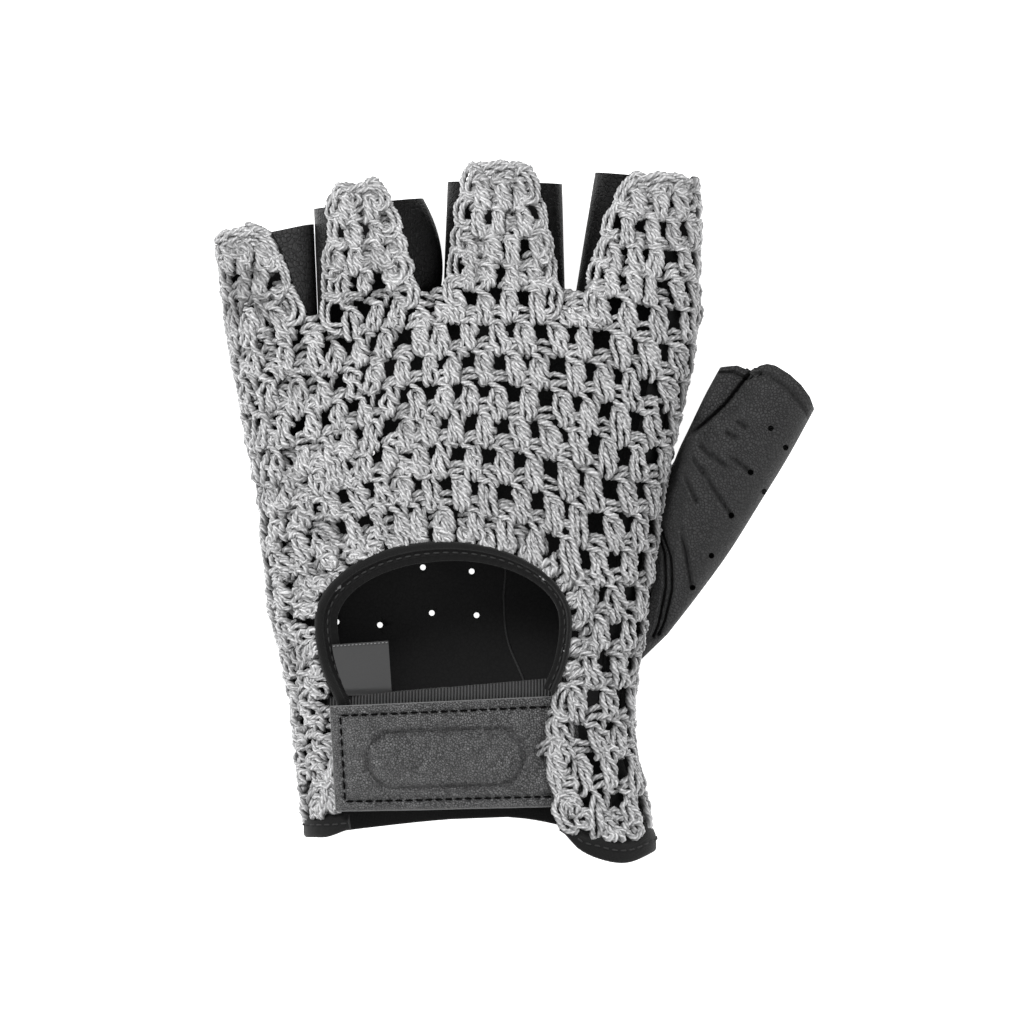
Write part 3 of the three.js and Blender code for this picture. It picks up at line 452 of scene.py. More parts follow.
def mesh_point(column, row):
    """Centre of a gap of the crochet lattice: rows shift by the drift, arch with the square of the distance
    from the crown column, and the left columns stand closer and turn down into the leg."""
    off = np.minimum((column - MESH["crown_column"]) ** 2, MESH["spread_limit"])
    crowded = np.maximum(MESH["crowded_from"] - column, 0)
    x = MESH["origin_x"] + MESH["drift"] * (row - 1) + MESH["pitch"] * (column - MESH["origin_column"])
    x = x + MESH["crowding"] * crowded
    into_leg = np.minimum(crowded / MESH["leg_blend"], 1) * np.maximum(row - MESH["leg_row"], 0)
    x = x + MESH["leg_shift"] * into_leg
    y = MESH["crown_y"] - MESH["arch"] * off - (MESH["row_pitch"] + MESH["spread"] * off) * row
    return x, y


def opening_edge(count, inset, start, end):
    """Points of the opening's edge from the left leg over the top to the right leg: two half ellipses, from
    one angle to another in degrees."""
    turn = np.radians(np.linspace(start, end, count))
    rise = np.where(np.sin(turn) > 0, OPENING["above"], OPENING["below"])
    x = OPENING["x"] + (OPENING["half"] - inset) * np.cos(turn)
    y = OPENING["y"] + (rise - inset) * np.sin(turn)
    return np.stack([x, y], -1)


def inside_opening(x, y, margin):
    """Whether a place is in the opening, widened by a margin."""
    rise = np.where(y > OPENING["y"], OPENING["above"], OPENING["below"]) + margin
    return np.hypot((x - OPENING["x"]) / (OPENING["half"] + margin), (y - OPENING["y"]) / rise) < 1


def walk(path):
    """The length walked along a path at each of its points."""
    return np.concatenate(([0], np.cumsum(np.linalg.norm(np.diff(path, axis=0), axis=1))))


def sample(values, walked, at):
    """Rows of values that go with a path's points, read off at given lengths along it."""
    return np.stack([np.interp(at, walked, values[:, k]) for k in range(values.shape[1])], -1)


def polyline(points, count):
    """Evenly spaced points along a smooth curve through a few given ones."""
    points = np.asarray(points, float)
    path = spline_basis(len(points), 12 * len(points)) @ points
    walked = walk(path)
    return sample(path, walked, np.linspace(0, walked[-1], count))


def upward(count):
    """The direction straight up, for every point of a path."""
    return np.tile([0.0, 0.0, 1.0], (count, 1))


def spline_basis(points, samples):
    """Weights that turn control points into samples of the Catmull-Rom curve through them."""
    t = np.linspace(0, points - 1, samples)
    k = np.clip(t.astype(int), 0, points - 2)
    f = t - k
    weights = np.zeros((samples, points))
    rows = np.arange(samples)
    weights[rows, k] += 2 * f ** 3 - 3 * f ** 2 + 1
    weights[rows, k + 1] += 3 * f ** 2 - 2 * f ** 3
    for knot, weight in ((k, f ** 3 - 2 * f ** 2 + f), (k + 1, f ** 3 - f ** 2)):
        before = np.maximum(knot - 1, 0)
        after = np.minimum(knot + 1, points - 1)
        share = weight / (after - before)
        np.add.at(weights, (rows, after), share)
        np.add.at(weights, (rows, before), -share)
    return weights


# Meshes

class Surface:
    """Gathers points, four- and three-sided faces, their UV corners and two values per point: how far it
    faces out of the cloth and how near the cloth's face it lies, which the yarn's colour turns into painted
    shade."""

    def __init__(self):
        self.points, self.quads, self.tris, self.quad_uvs, self.tri_uvs, self.values = [], [], [], [], [], []
        self.count = 0

    def add(self, points, quads, quad_uvs=None, tris=None, values=None):
        """Adds points and the faces between them, which count from the first of these points."""
        points = np.asarray(points, float).reshape(-1, 3)
        quads = np.asarray(quads, int).reshape(-1, 4)
        tris = np.zeros((0, 3), int) if tris is None else np.asarray(tris, int).reshape(-1, 3)
        self.points.append(points)
        self.quads.append(quads + self.count)
        self.tris.append(tris + self.count)
        self.quad_uvs.append(np.zeros((len(quads), 4, 2)) if quad_uvs is None else quad_uvs)
        self.tri_uvs.append(np.zeros((len(tris), 3, 2)))
        self.values.append(np.ones((len(points), 2)) if values is None else values.reshape(-1, 2))
        self.count += len(points)

    def make(self, name, material, sharp=None):
        """A finished object at the origin, with smooth faces and, where asked, sharp edges past an angle."""
        points = np.concatenate(self.points)
        quads = np.concatenate(self.quads)
        tris = np.concatenate(self.tris)
        mesh = bpy.data.meshes.new(name)
        mesh.vertices.add(len(points))
        mesh.vertices.foreach_set("co", (points * MM).ravel())
        corners = np.concatenate([quads.ravel(), tris.ravel()])
        mesh.loops.add(len(corners))
        mesh.loops.foreach_set("vertex_index", corners)
        starts = np.concatenate([np.arange(len(quads)) * 4, len(quads) * 4 + np.arange(len(tris)) * 3])
        mesh.polygons.add(len(starts))
        mesh.polygons.foreach_set("loop_start", starts)
        mesh.update(calc_edges=True)
        mesh.polygons.foreach_set("use_smooth", np.ones(len(starts), bool))
        uvs = mesh.uv_layers.new(name="Along")
        flat = np.concatenate([np.concatenate(self.quad_uvs).ravel(), np.concatenate(self.tri_uvs).ravel()])
        uvs.data.foreach_set("uv", flat)
        values = np.concatenate(self.values)
        for k, label in enumerate(("facing", "near")):
            mesh.attributes.new(label, "FLOAT", "POINT").data.foreach_set("value", values[:, k].copy())
        if sharp is not None:
            mesh.set_sharp_from_angle(angle=math.radians(sharp))
        mesh.materials.append(material)
        piece = bpy.data.objects.new(name, mesh)
        bpy.context.scene.collection.objects.link(piece)
        return piece


def corner_uvs(u0, u1, v0, v1):
    """UV corners of four-sided faces: along from the first one, across, and back."""
    corners = ((u0, v0), (u0, v1), (u1, v1), (u1, v0))
    return np.stack([np.stack(corner, -1) for corner in corners], -2)


PLY = 0.1  # how far plies stand out of a strand, as a share of its radius
TUBE_POINT = 0.6  # how far a strand's closed end stands past its path, as a share of its radius


def add_tubes(surface, path, up, radius, points=8, lobes=4, lay=6.6, phase=None, shade=None):
    """Twisted strands along many paths at once. At each step a ring of points stands round the path at
    radius times 1 + PLY * cos(lobes * angle); the rings turn with the length walked, once each lay, so
    the lobes run round the strand as plies do. Both ends close to a point. The values kept with each point
    are how far it faces out of the cloth and how near the cloth's face its strand lies, which the yarn's
    colour turns into painted shade."""
    n, m, _ = path.shape
    along = unit(np.gradient(path, axis=1))
    side = unit(np.cross(along, up))
    rise = np.cross(side, along)
    steps = np.linalg.norm(np.diff(path, axis=1), axis=2)
    walked = np.concatenate([np.zeros((n, 1)), np.cumsum(steps, axis=1)], axis=1)
    phase = np.zeros(n) if phase is None else phase
    angle = 2 * np.pi * np.arange(points) / points
    turn = angle + (walked * 2 * np.pi / lay + phase[:, None])[:, :, None]
    lobe = np.cos(lobes * angle)
    r = np.broadcast_to(radius, (n, m))
    ring = r[:, :, None] * (1 + PLY * lobe)
    offset = np.cos(turn)[..., None] * side[:, :, None] + np.sin(turn)[..., None] * rise[:, :, None]
    body = path[:, :, None] + ring[..., None] * offset
    first = path[:, 0] - along[:, 0] * r[:, :1] * TUBE_POINT
    last = path[:, -1] + along[:, -1] * r[:, -1:] * TUBE_POINT
    size = m * points + 2
    everything = np.concatenate([body.reshape(n, -1, 3), first[:, None], last[:, None]], axis=1)
    row, col = np.meshgrid(np.arange(m - 1), np.arange(points), indexing="ij")
    nxt = (col + 1) % points
    quad = np.stack([row * points + col, (row + 1) * points + col, (row + 1) * points + nxt,
                     row * points + nxt], -1).reshape(-1, 4)
    k = np.arange(points)
    turned = (k + 1) % points
    tri = np.concatenate([
        np.stack([np.full(points, m * points), k, turned], -1),
        np.stack([np.full(points, m * points + 1), (m - 1) * points + turned, (m - 1) * points + k], -1),
    ])
    base = (np.arange(n) * size)[:, None, None]
    u0, u1 = col / points, (col + 1) / points
    v0 = walked[:, :-1][:, :, None] + 0 * col[None]
    v1 = walked[:, 1:][:, :, None] + 0 * col[None]
    u0, u1 = np.broadcast_to(u0, v0.shape), np.broadcast_to(u1, v0.shape)
    shift = (phase * 3.1)[:, None, None]
    uv = corner_uvs(u0, u1, v0 + shift, v1 + shift).reshape(-1, 4, 2)
    # Painted shade for the yarn: a point's upward facing round its ring, and its strand's depth value.
    shade = np.broadcast_to(1.0 if shade is None else shade, (n, m))
    near = np.broadcast_to(shade[..., None], turn.shape)
    body_values = np.stack([0.5 + 0.5 * np.sin(turn), near], -1).reshape(n, -1, 2)
    # The closed ends, buried in other strands, take a low fixed value: painted shade.
    values = np.concatenate([body_values, np.full((n, 2, 2), 0.3)], axis=1)
    surface.add(everything, (quad[None] + base).reshape(-1, 4), uv, (tri[None] + base).reshape(-1, 3), values)


def add_shell(surface, grid, thick, keep=None, wrap=False, scale=(1.0, 1.0)):
    """A closed sheet of even thickness under a grid of points (rows down, columns right, from outside).
    The inner face stands back along the mean direction of the cells round each point."""
    rows, columns, _ = grid.shape
    ring = grid if not wrap else np.concatenate([grid, grid[:, :1]], axis=1)
    wide = ring.shape[1] - 1
    keep = np.ones((rows - 1, wide), bool) if keep is None else keep
    facing = np.cross(ring[1:, 1:] - ring[:-1, :-1], ring[:-1, 1:] - ring[1:, :-1]) * keep[..., None]
    normals = np.zeros_like(ring)
    for r, c in ((0, 0), (0, 1), (1, 0), (1, 1)):
        normals[r:rows - 1 + r, c:wide + c] += facing
    if wrap:
        normals[:, 0] += normals[:, -1]
        normals = normals[:, :-1]
    under = grid - unit(normals) * thick
    r, c = np.meshgrid(np.arange(rows - 1), np.arange(wide), indexing="ij")
    d = (c + 1) % columns
    a, b, e, f = r * columns + c, (r + 1) * columns + c, (r + 1) * columns + d, r * columns + d
    lower = rows * columns
    quads = [np.stack([a, b, e, f], -1)[keep], np.stack([a, f, e, b], -1)[keep] + lower]
    u0, u1, v0, v1 = c * scale[0], (c + 1) * scale[0], -r * scale[1], -(r + 1) * scale[1]
    uv = corner_uvs(u0, u1, v0, v1)[keep]
    uvs = [uv, uv[:, [0, 3, 2, 1]]]
    padded = np.zeros((rows + 1, wide + 2), bool)
    padded[1:-1, 1:-1] = keep
    if wrap:
        padded[1:-1, 0], padded[1:-1, -1] = keep[:, -1], keep[:, 0]
    up, down = keep & ~padded[:-2, 1:-1], keep & ~padded[2:, 1:-1]
    left, right = keep & ~padded[1:-1, :-2], keep & ~padded[1:-1, 2:]
    for mask, p, q in ((up, a, f), (down, e, b), (left, b, a), (right, f, e)):
        wall = np.stack([p, q, q + lower, p + lower], -1)[mask]
        quads.append(wall)
        uvs.append(np.zeros((len(wall), 4, 2)))
    quads = np.concatenate(quads)
    used, packed = np.unique(quads, return_inverse=True)
    points = np.concatenate([grid.reshape(-1, 3), under.reshape(-1, 3)])[used]
    surface.add(points, packed.reshape(-1, 4), np.concatenate(uvs))


def add_sweep(surface, at, side, up, profile):
    """A closed profile of (side, up) points carried along stops, both ends capped by a middle point."""
    profile = np.asarray(profile, float)
    m, k = len(at), len(profile)
    body = at[:, None] + profile[None, :, :1] * side[:, None] + profile[None, :, 1:] * up[:, None]
    row, col = np.meshgrid(np.arange(m - 1), np.arange(k), indexing="ij")
    nxt = (col + 1) % k
    quads = np.stack([row * k + col, row * k + nxt, (row + 1) * k + nxt, (row + 1) * k + col], -1)
    c = np.arange(k)
    ends = np.stack([body[0].mean(0), body[-1].mean(0)])
    tris = np.concatenate([
        np.stack([np.full(k, m * k), (c + 1) % k, c], -1),
        np.stack([np.full(k, m * k + 1), (m - 1) * k + c, (m - 1) * k + (c + 1) % k], -1),
    ])
    walked = walk(at)
    wide = walk(np.vstack([profile, profile[:1]]))
    u0, u1, v0, v1 = wide[col], wide[col + 1], walked[row], walked[row + 1]
    uv = corner_uvs(u0, u1, v0, v1)[..., [0, 3, 2, 1], :].reshape(-1, 4, 2)
    surface.add(np.concatenate([body.reshape(-1, 3), ends]), quads.reshape(-1, 4), uv, tris)


def add_stitches(surface, at, up, radius, length, gap):
    """A row of sewn stitches down a path: short tubes whose height over the path falls with the fourth power
    of the distance from their middle, so that both ends go down into the cloth."""
    sink = 0.1
    walked = walk(at)
    count = max(int(walked[-1] / (length + gap)), 1)
    start = (np.arange(count) + 0.5) * walked[-1] / count
    share = np.linspace(-0.5, 0.5, 7)
    place = start[:, None] + share[None] * length
    lift = radius * 0.7 - (2 * share) ** 4 * (radius * 1.2 + sink)
    out = sample(up, walked, place)
    path = sample(at, walked, place) + out * lift[None, :, None]
    thin = radius * (1 - 0.35 * (2 * share) ** 4)
    add_tubes(surface, path, unit(out), np.broadcast_to(thin, place.shape), points=6, lobes=2, lay=2.0,
              phase=start)


def punch(piece, centres, radius, low, high):
    """Cuts round holes straight down through a piece, by a boolean with small cylinders."""
    sides = 16
    k = np.arange(sides)
    n = (k + 1) % sides
    turn = 2 * np.pi * k / sides
    foot, top = np.full(sides, 2 * sides), np.full(sides, 2 * sides + 1)
    quads = np.stack([k, n, n + sides, k + sides], -1)
    tris = np.concatenate([np.stack([foot, n, k], -1), np.stack([top, k + sides, n + sides], -1)])
    cutters = Surface()
    for x, y in centres:
        ring = np.stack([x + radius * np.cos(turn), y + radius * np.sin(turn)], -1)
        ends = [np.column_stack([ring, np.full(sides, level)]) for level in (low, high)]
        cutters.add(np.concatenate([*ends, [[x, y, low], [x, y, high]]]), quads, None, tris)
    cutter = cutters.make("punch", piece.data.materials[0])
    modifier = piece.modifiers.new("holes", "BOOLEAN")
    modifier.operation = "DIFFERENCE"
    modifier.solver = "EXACT"
    modifier.use_self = True
    modifier.object = cutter
    apply_modifiers(piece)
    bpy.data.objects.remove(cutter, do_unlink=True)


def apply_modifiers(piece):
    """Replaces a piece's mesh by what its modifiers make of it."""
    depsgraph = bpy.context.evaluated_depsgraph_get()
    mesh = bpy.data.meshes.new_from_object(piece.evaluated_get(depsgraph))
    piece.modifiers.clear()
    piece.data = mesh


# Crochet

def knuckle_line(x):
    """Height along the hand at which its fingers begin."""
    ends = [FINGERS[name]["base"] for name in ORDER]
    return np.interp(x, [v for end in ends for v in end[::2]], [v for end in ends for v in end[1::2]])


def leg_edges(y):
    """The inner edges of the two legs beside the wrist's opening."""
    left, right = np.array(LEFT_LEG_EDGE)[::-1], np.array(RIGHT_LEG_EDGE)[::-1]
    return np.interp(y, left[:, 1], left[:, 0]), np.interp(y, right[:, 1], right[:, 0])


def tape_edge(x):
    """Where the wrist tape ends on the net, across the back."""
    return follow(HEM_BACK, "y", np.clip(x, *HEM_ENDS), "x") + HEM_TAPE


def off_net(x, y, margin):
    """Whether a place is in the opening, between the legs or past the hem."""
    left, right = leg_edges(y)
    between = (y < LEGS_FROM) & (x > left + margin) & (x < right - margin)
    return inside_opening(x, y, margin) | between | (y < tape_edge(x) + margin)


def node_rows(spots, across, down, loose):
    """Stitches as rows of numbers, without those that begin off the net or have no room for their post. A
    post whose foot falls by the net's edge is drawn in or out to end there."""
    start, foot, last = 0.25, 1.22, 1.53  # a post's top, its usual foot and its lowest one, in steps down
    steps = np.linspace(start, last, 45)
    x = spots[:, :1] + down[:, :1] * steps
    y = spots[:, 1:] + down[:, 1:] * steps
    off = off_net(x, y, 0.2) | inside_opening(x + 1.8, y, -0.4) | inside_opening(x - 1.0, y, -0.4)
    off |= y < tape_edge(x) + 1.4
    first = np.where(off.any(1), steps[off.argmax(1)], foot)
    share = (first - start) / (foot - start)
    nodes = np.column_stack([spots, across, down, share, loose])
    x, y = spots.T
    over = off_net(x, y, 1.0)
    for end in (-0.4, 0.4):
        over |= inside_opening(x + end * across[:, 0], y + end * across[:, 1], -0.9)
    left, _ = leg_edges(y)
    over |= (y < LEGS_FROM) & (x < OPENING["x"]) & (x + 0.4 * across[:, 0] > left + 1.6)
    return nodes[(share > 0.28) & ~over]


def lattice(columns, rows):
    """Every column with every row of the lattice, as two long lists."""
    grid = np.meshgrid(np.arange(*columns), np.arange(*rows), indexing="ij")
    return (part.ravel().astype(float) for part in grid)


def bar_place(column, row):
    """Where the bar of a lattice gap's stitch lies."""
    return np.stack(mesh_point(column, row), -1) - [0, BAR_BELOW_GAP]


def hand_nodes():
    """Every stitch of the lattice on the hand, out to the seams at its sides."""
    column, row = lattice((-9, 17), (-2, 19))
    here = bar_place(column, row)
    across = (bar_place(column + 1, row) - bar_place(column - 1, row)) / 2
    down = (bar_place(column, row + 1) + bar_place(column + 1, row + 1)) / 2 - here
    x, y = here.T
    middle, half, _, _ = hand_section(y)
    on_strip = np.zeros(len(here), bool)
    for name in ORDER:
        left, right = strip_edges(name, np.clip(strip_share(name, y), 0, 1))
        on_strip |= (x > left[:, 0] + 1.5) & (x < right[:, 0] - 1.5)
    over = y - knuckle_line(x)
    keep = (np.abs(x - middle) < RIM * half + PAST_RIM) & ((over < -1.0) | ((over < 4.6) & on_strip))
    loose = np.maximum(smooth(-x, 12, 40), 0.6 * smooth(-y, 15, 30))
    return node_rows(here[keep], across[keep], down[keep], loose[keep])


def finger_nodes(name, hand):
    """The stitches of one finger. Posts lean right as they go down, every other row stands half a stitch
    along, and the last row's posts reach to the hand's first stitches."""
    pitch, room, over_side = 5.0, 0.07, 2.3  # of stitches, and how near or far past the strip's sides they go
    heights = FINGERS[name]["rows"]
    rows = []
    for k, height in enumerate(heights):
        left, right = strip_edges(name, strip_share(name, height))
        count = max(int(round((right[0] - left[0]) / pitch)), 2)
        place = (np.arange(-3, count + 4) + (0.5 if k % 2 == 0 else 0.95)) / count
        low = -over_side / count if name == "pinky" else room
        high = 1 + over_side / count if name == "index" else 1 - room
        place = place[(place > low) & (place < high)]
        spots = left + (right - left) * place[:, None]
        n = len(spots)
        across = np.tile([(right[0] - left[0]) / count, (right[1] - left[1]) / count], (n, 1))
        if k + 1 < len(heights):
            drop = np.full(n, height - heights[k + 1])
        else:
            near = (np.abs(hand[None, :, 0] - spots[:, :1]) < 5) & (hand[None, :, 1] < height - 3.5)
            drop = np.clip(height - np.where(near, hand[None, :, 1], -99).max(1), 5.0, 9.0)
        down = np.column_stack([0.1 * drop, -drop])
        rows.append(np.column_stack([spots, across, down, np.ones(n), np.full(n, 0.35)]))
    return np.concatenate(rows)


def gap_nodes(name, stitches, rng):
    """Short stitches that work over a share of the gaps between a finger's stitches."""
    gaps = stitches[rng.random(len(stitches)) < FINGERS[name]["filled"]].copy()
    gaps[:, PLACE] += 0.5 * gaps[:, STEP] + 0.3 * gaps[:, DROP]
    gaps[:, FIT] = 0.32
    _, right = strip_edges(name, strip_share(name, gaps[:, 1]))
    return gaps[gaps[:, 0] < right[:, 0] - 1.2]


def side_nodes(name, side):
    """Where a finger strip's side loops start: one a row, from its tip down, turned out to one side."""
    finger = FINGERS[name]
    heights = np.arange(finger["rows"][0] + 1.2, finger["strip_base"][1] + 2.0, -LOOP_PITCH)
    edge, below = (strip_edges(name, strip_share(name, y))[side > 0] for y in (heights, heights - LOOP_PITCH))
    return loop_nodes(edge, below, side)


def loop_nodes(edge, below, side):
    """Side loops that hang from points of an edge to the points below them, turned out to one side."""
    spots = edge - [1.7 * side, 0]
    down = (below - edge) * 1.2
    one = np.ones(len(spots))
    across = np.column_stack([one * ACROSS[0] * UNIT * side, one * ACROSS[1] * UNIT])
    return np.column_stack([spots, across, down, one, 0.3 * one])


def turned_nodes(spots, turn, loose, fit=1.0, size=1.0):
    """Knots at given places, each turned its own way, their posts shortened to fit; size 1 is as drawn."""
    c, s = np.cos(turn), np.sin(turn)
    steps = [size * UNIT * np.stack([x * c - y * s, x * s + y * c], -1) for x, y in (ACROSS, DOWN)]
    one = np.ones(len(spots))
    return np.column_stack([spots, *steps, one * fit, one * loose])


def edge_nodes(path, inward, spacing, shift):
    """Knots along an edge, set in from it, whose loops hang towards it."""
    walked = walk(path)
    count = max(int(round(walked[-1] / spacing)), 1)
    at = (np.arange(count) + 0.5) * walked[-1] / count
    into = unit(sample(inward, walked, at))
    spots = sample(path, walked, at) + into * shift
    return turned_nodes(spots, np.arctan2(-into[:, 0], into[:, 1]), 0.6, size=0.88)


def fill_nodes(rng):
    """Knots and short stitches in the gaps of the lattice where the net is crowded, more of them towards its
    left side."""
    column, row = lattice((-9, 5), (-1, 19))
    x, y = mesh_point(column, row)
    middle, half, _, _ = hand_section(y)
    chance = np.interp(x, [-54, -46, -36, -26, -18], [0.85, 0.65, 0.4, 0.2, 0.0])
    keep = (rng.random(len(x)) < chance) & (np.abs(x - middle) < RIM * half + PAST_RIM)
    keep &= (y < knuckle_line(x) - 1) & ~off_net(x, y, 2.4)
    left, right = leg_edges(y)
    keep &= (y > LEGS_FROM) | (x < left - 1.5) | (x > right + 1.5)
    spots = np.stack([x, y], -1)[keep]
    short = rng.random(len(spots)) < 0.85
    turn = rng.normal(0.1, 0.2, len(spots))
    return turned_nodes(spots[~short], turn[~short], 0.6), turned_nodes(spots[short], turn[short], 0.6, 0.35)


# Yarn as it is laid: over which surface, how thick, how unevenly and with which random draws
Yarn = namedtuple("Yarn", "place radius wander rng")


def yarn_for(context, start):
    """Yarn over the hand as the settings have it, with random draws of its own start."""
    sizes = context.scene.glove_sizes
    return Yarn(on_hand, sizes.yarn_radius / MM, sizes.wander, np.random.default_rng(sizes.seed + start))


def add_strands(surface, nodes, yarn, pattern, lift=0.0):
    """Lays a stitch's strands at every node: control points are taken apart along the drawing's steps, put
    together along the node's own, shaken a little, made into smooth curves and laid over a surface."""
    place, radius, wander, rng = yarn
    step, post = 0.75, 0.25  # mm between a strand's rings, and how far down a stitch its post begins
    n = len(nodes)
    spots, across, down, fit, loose = (nodes[:, part] for part in (PLACE, STEP, DROP, FIT, LOOSE))
    shake = wander * (1 + 0.7 * loose)
    tilt = rng.normal(0, 0.08, n) * shake
    away = rng.normal(0, 1, (n, 3)) * [0.16, 0.16, 0.12] * shake[:, None]
    grow = 1 + rng.normal(0, 0.04, n) * shake
    det = ACROSS[0] * DOWN[1] - ACROSS[1] * DOWN[0]
    for control in pattern.values():
        control = np.array(control, float)
        k = len(control)
        length = np.linalg.norm(np.diff(control * [UNIT, UNIT, 1], axis=0), axis=1).sum()
        m = max(int(length / step), 5)
        points = control[None] + rng.normal(0, 1, (n, k, 3)) * [1.0, 1.0, 0.12] * shake[:, None, None]
        path = np.einsum("mk,nkc->nmc", spline_basis(k, m), points)
        a = (path[..., 0] * DOWN[1] - path[..., 1] * DOWN[0]) / det * grow[:, None]
        b = (ACROSS[0] * path[..., 1] - ACROSS[1] * path[..., 0]) / det
        b = np.where(b > post, post + (b - post) * fit[:, None], b) * grow[:, None]
        flat = a[..., None] * across[:, None] + b[..., None] * down[:, None]
        c, s = np.cos(tilt)[:, None], np.sin(tilt)[:, None]
        x = spots[:, :1] + away[:, :1] + c * flat[..., 0] - s * flat[..., 1]
        y = spots[:, 1:] + away[:, 1:2] + s * flat[..., 0] + c * flat[..., 1]
        out = path[..., 2] + away[:, 2:]
        at, up = place(x, y, out + lift)
        share = np.linspace(-1, 1, m)
        thick = radius * (1 - 0.25 * share ** 8) * (1 + rng.normal(0, 0.09, n))[:, None]
        # How low a strand lies, lift included, sets its painted depth shade: strands laid lower are painted
        # darker.
        add_tubes(surface, at, up, thick, phase=rng.uniform(0, 6.28, n), shade=smooth(out + lift, -2.4, -0.2))


def add_crochet(surface, nodes, yarn, lift=0.0, patterns=STITCHES, shares=STITCH_SHARES):
    """Lays one of a few patterns at every node, in their usual shares."""
    kind = yarn.rng.choice(len(patterns), len(nodes), p=shares)
    for k, pattern in enumerate(patterns):
        if (kind == k).any():
            add_strands(surface, nodes[kind == k], yarn, pattern, lift)


def add_knots(surface, nodes, yarn, lift=0.0):
    """Lays one of the two knots at every node."""
    add_crochet(surface, nodes, yarn, lift, KNOTS, (0.5, 0.5))


def add_braid(surface, path, yarn, strands, swing, wave, out):
    """A chain of strands that cross over each other along an edge: each swings sideways by the sine of the
    length walked and in and out by its cosine twice as fast."""
    walked = walk(path)
    at = np.linspace(0, walked[-1], max(int(walked[-1] / 0.6), 6))
    line = sample(path, walked, at)
    along = unit(np.gradient(line, axis=0))
    across = np.stack([along[:, 1], -along[:, 0]], -1)
    for k in range(strands):
        turn = 2 * np.pi * (at / wave + k / strands) + yarn.rng.normal(0, 0.15)
        spot = line + across * (swing * np.sin(turn) * (1 + 0.2 * np.sin(at * 0.9 + k)))[:, None]
        lift = out + 0.45 * np.cos(turn * 2 + k)
        body, up = yarn.place(spot[:, 0], spot[:, 1], lift)
        add_tubes(surface, body[None], up[None], yarn.radius, phase=yarn.rng.uniform(0, 6.28, 1))


# Leather

# The turn round a section at its lowest point, half the turn that a finger's front covers and how far the
# wall laps over it, and where the palm's columns stand: as shares of the way down at the two outer sides,
# and as turns from the lowest point elsewhere
BOTTOM = 1.5 * np.pi
FRONT_TURN = 0.95
WALL_LAP = 0.03
OUTER_DROPS = np.array([SEAM_DROP + 0.02, 0.36, 0.43, 0.5, 0.6, 0.7, 0.78, 0.85])
INNER_TURNS = np.array([0.0, 0.16, 0.34, 0.54, 0.75, FRONT_TURN])


def palm_columns():
    """Columns of the palm from index to pinky: finger, turn on a finger, turn on the hand or none."""
    on_fingers, on_palm = drop_turn(OUTER_DROPS, FINGER_UNDER), drop_turn(OUTER_DROPS, HAND_UNDER)
    columns = []
    for name in ORDER:
        fronts = [(name, BOTTOM + turn, None) for turn in np.concatenate([-INNER_TURNS[:0:-1], INNER_TURNS])]
        if name == "pinky":
            outer = [(name, np.pi + a, np.pi + b) for a, b in zip(on_fingers, on_palm)]
            fronts = outer + fronts[len(INNER_TURNS) - 1:]
        if name == "index":
            outer = [(name, 2 * np.pi - a, 2 * np.pi - b) for a, b in zip(on_fingers[::-1], on_palm[::-1])]
            fronts = fronts[:len(INNER_TURNS)] + outer
        columns += fronts
    return columns[::-1]


def palm_grid(finger_rows=14, hand_rows=44):
    """The palm's outer face: finger fronts round their sections, then the hand's underside from knuckles to
    hem, each column at its own turn round the hand. Rows run down and columns right, seen from below. The
    cells to keep leave out those between two fingers and a superellipse inside the thumb's root."""
    columns = palm_columns()
    rows = []
    for r in range(finger_rows):
        share = np.array(1 - r / finger_rows)
        rows.append([round_finger(name, share, np.array(turn)) for name, turn, _ in columns])
    knuckles = np.array([round_finger(name, np.array(0.02), np.array(turn)) for name, turn, _ in columns])
    middle, half, _, _ = hand_section(knuckles[:, 1])
    across = np.clip((knuckles[:, 0] - middle) / half, -1, 1)
    under = 2 * np.pi - np.arccos(signed_power(across, HAND_UNDER / 2))
    around = np.array([u if own is None else own for (_, _, own), u in zip(columns, under)])
    start = knuckles[:, 1] - 0.5
    for r in range(hand_rows + 1):
        share = r / hand_rows
        y = start.copy()
        for _ in range(4):
            x = round_hand(around, y)[:, 0]
            hem = follow(HEM_PALM, "y", np.clip(x, *HEM_ENDS), "x") + HEM_TAPE
            y = start + (hem - start) * share
        rows.append(round_hand(around, y))
    grid = np.array(rows)
    same = np.array([a[0] == b[0] for a, b in zip(columns, columns[1:])])
    keep = np.ones((grid.shape[0] - 1, grid.shape[1] - 1), bool)
    keep[:finger_rows] = same
    middle_y, middle_z = ((grid[:-1, :-1, k] + grid[1:, 1:, k]) / 2 for k in (1, 2))
    tall, long = THUMB_ROOT["high"] - THUMB_ROOT["low"], THUMB_ROOT["top"] - THUMB_ROOT["bottom"]
    rise = (2 * (middle_z - THUMB_ROOT["low"]) / tall - 1) * 1.12
    run = (2 * (middle_y - THUMB_ROOT["bottom"]) / long - 1) * 1.08
    thumb_side = grid[:-1, :-1, 0] > 15
    keep &= ~(thumb_side & (np.abs(rise) ** 3 + np.abs(run) ** 3 < 1))
    return grid, keep


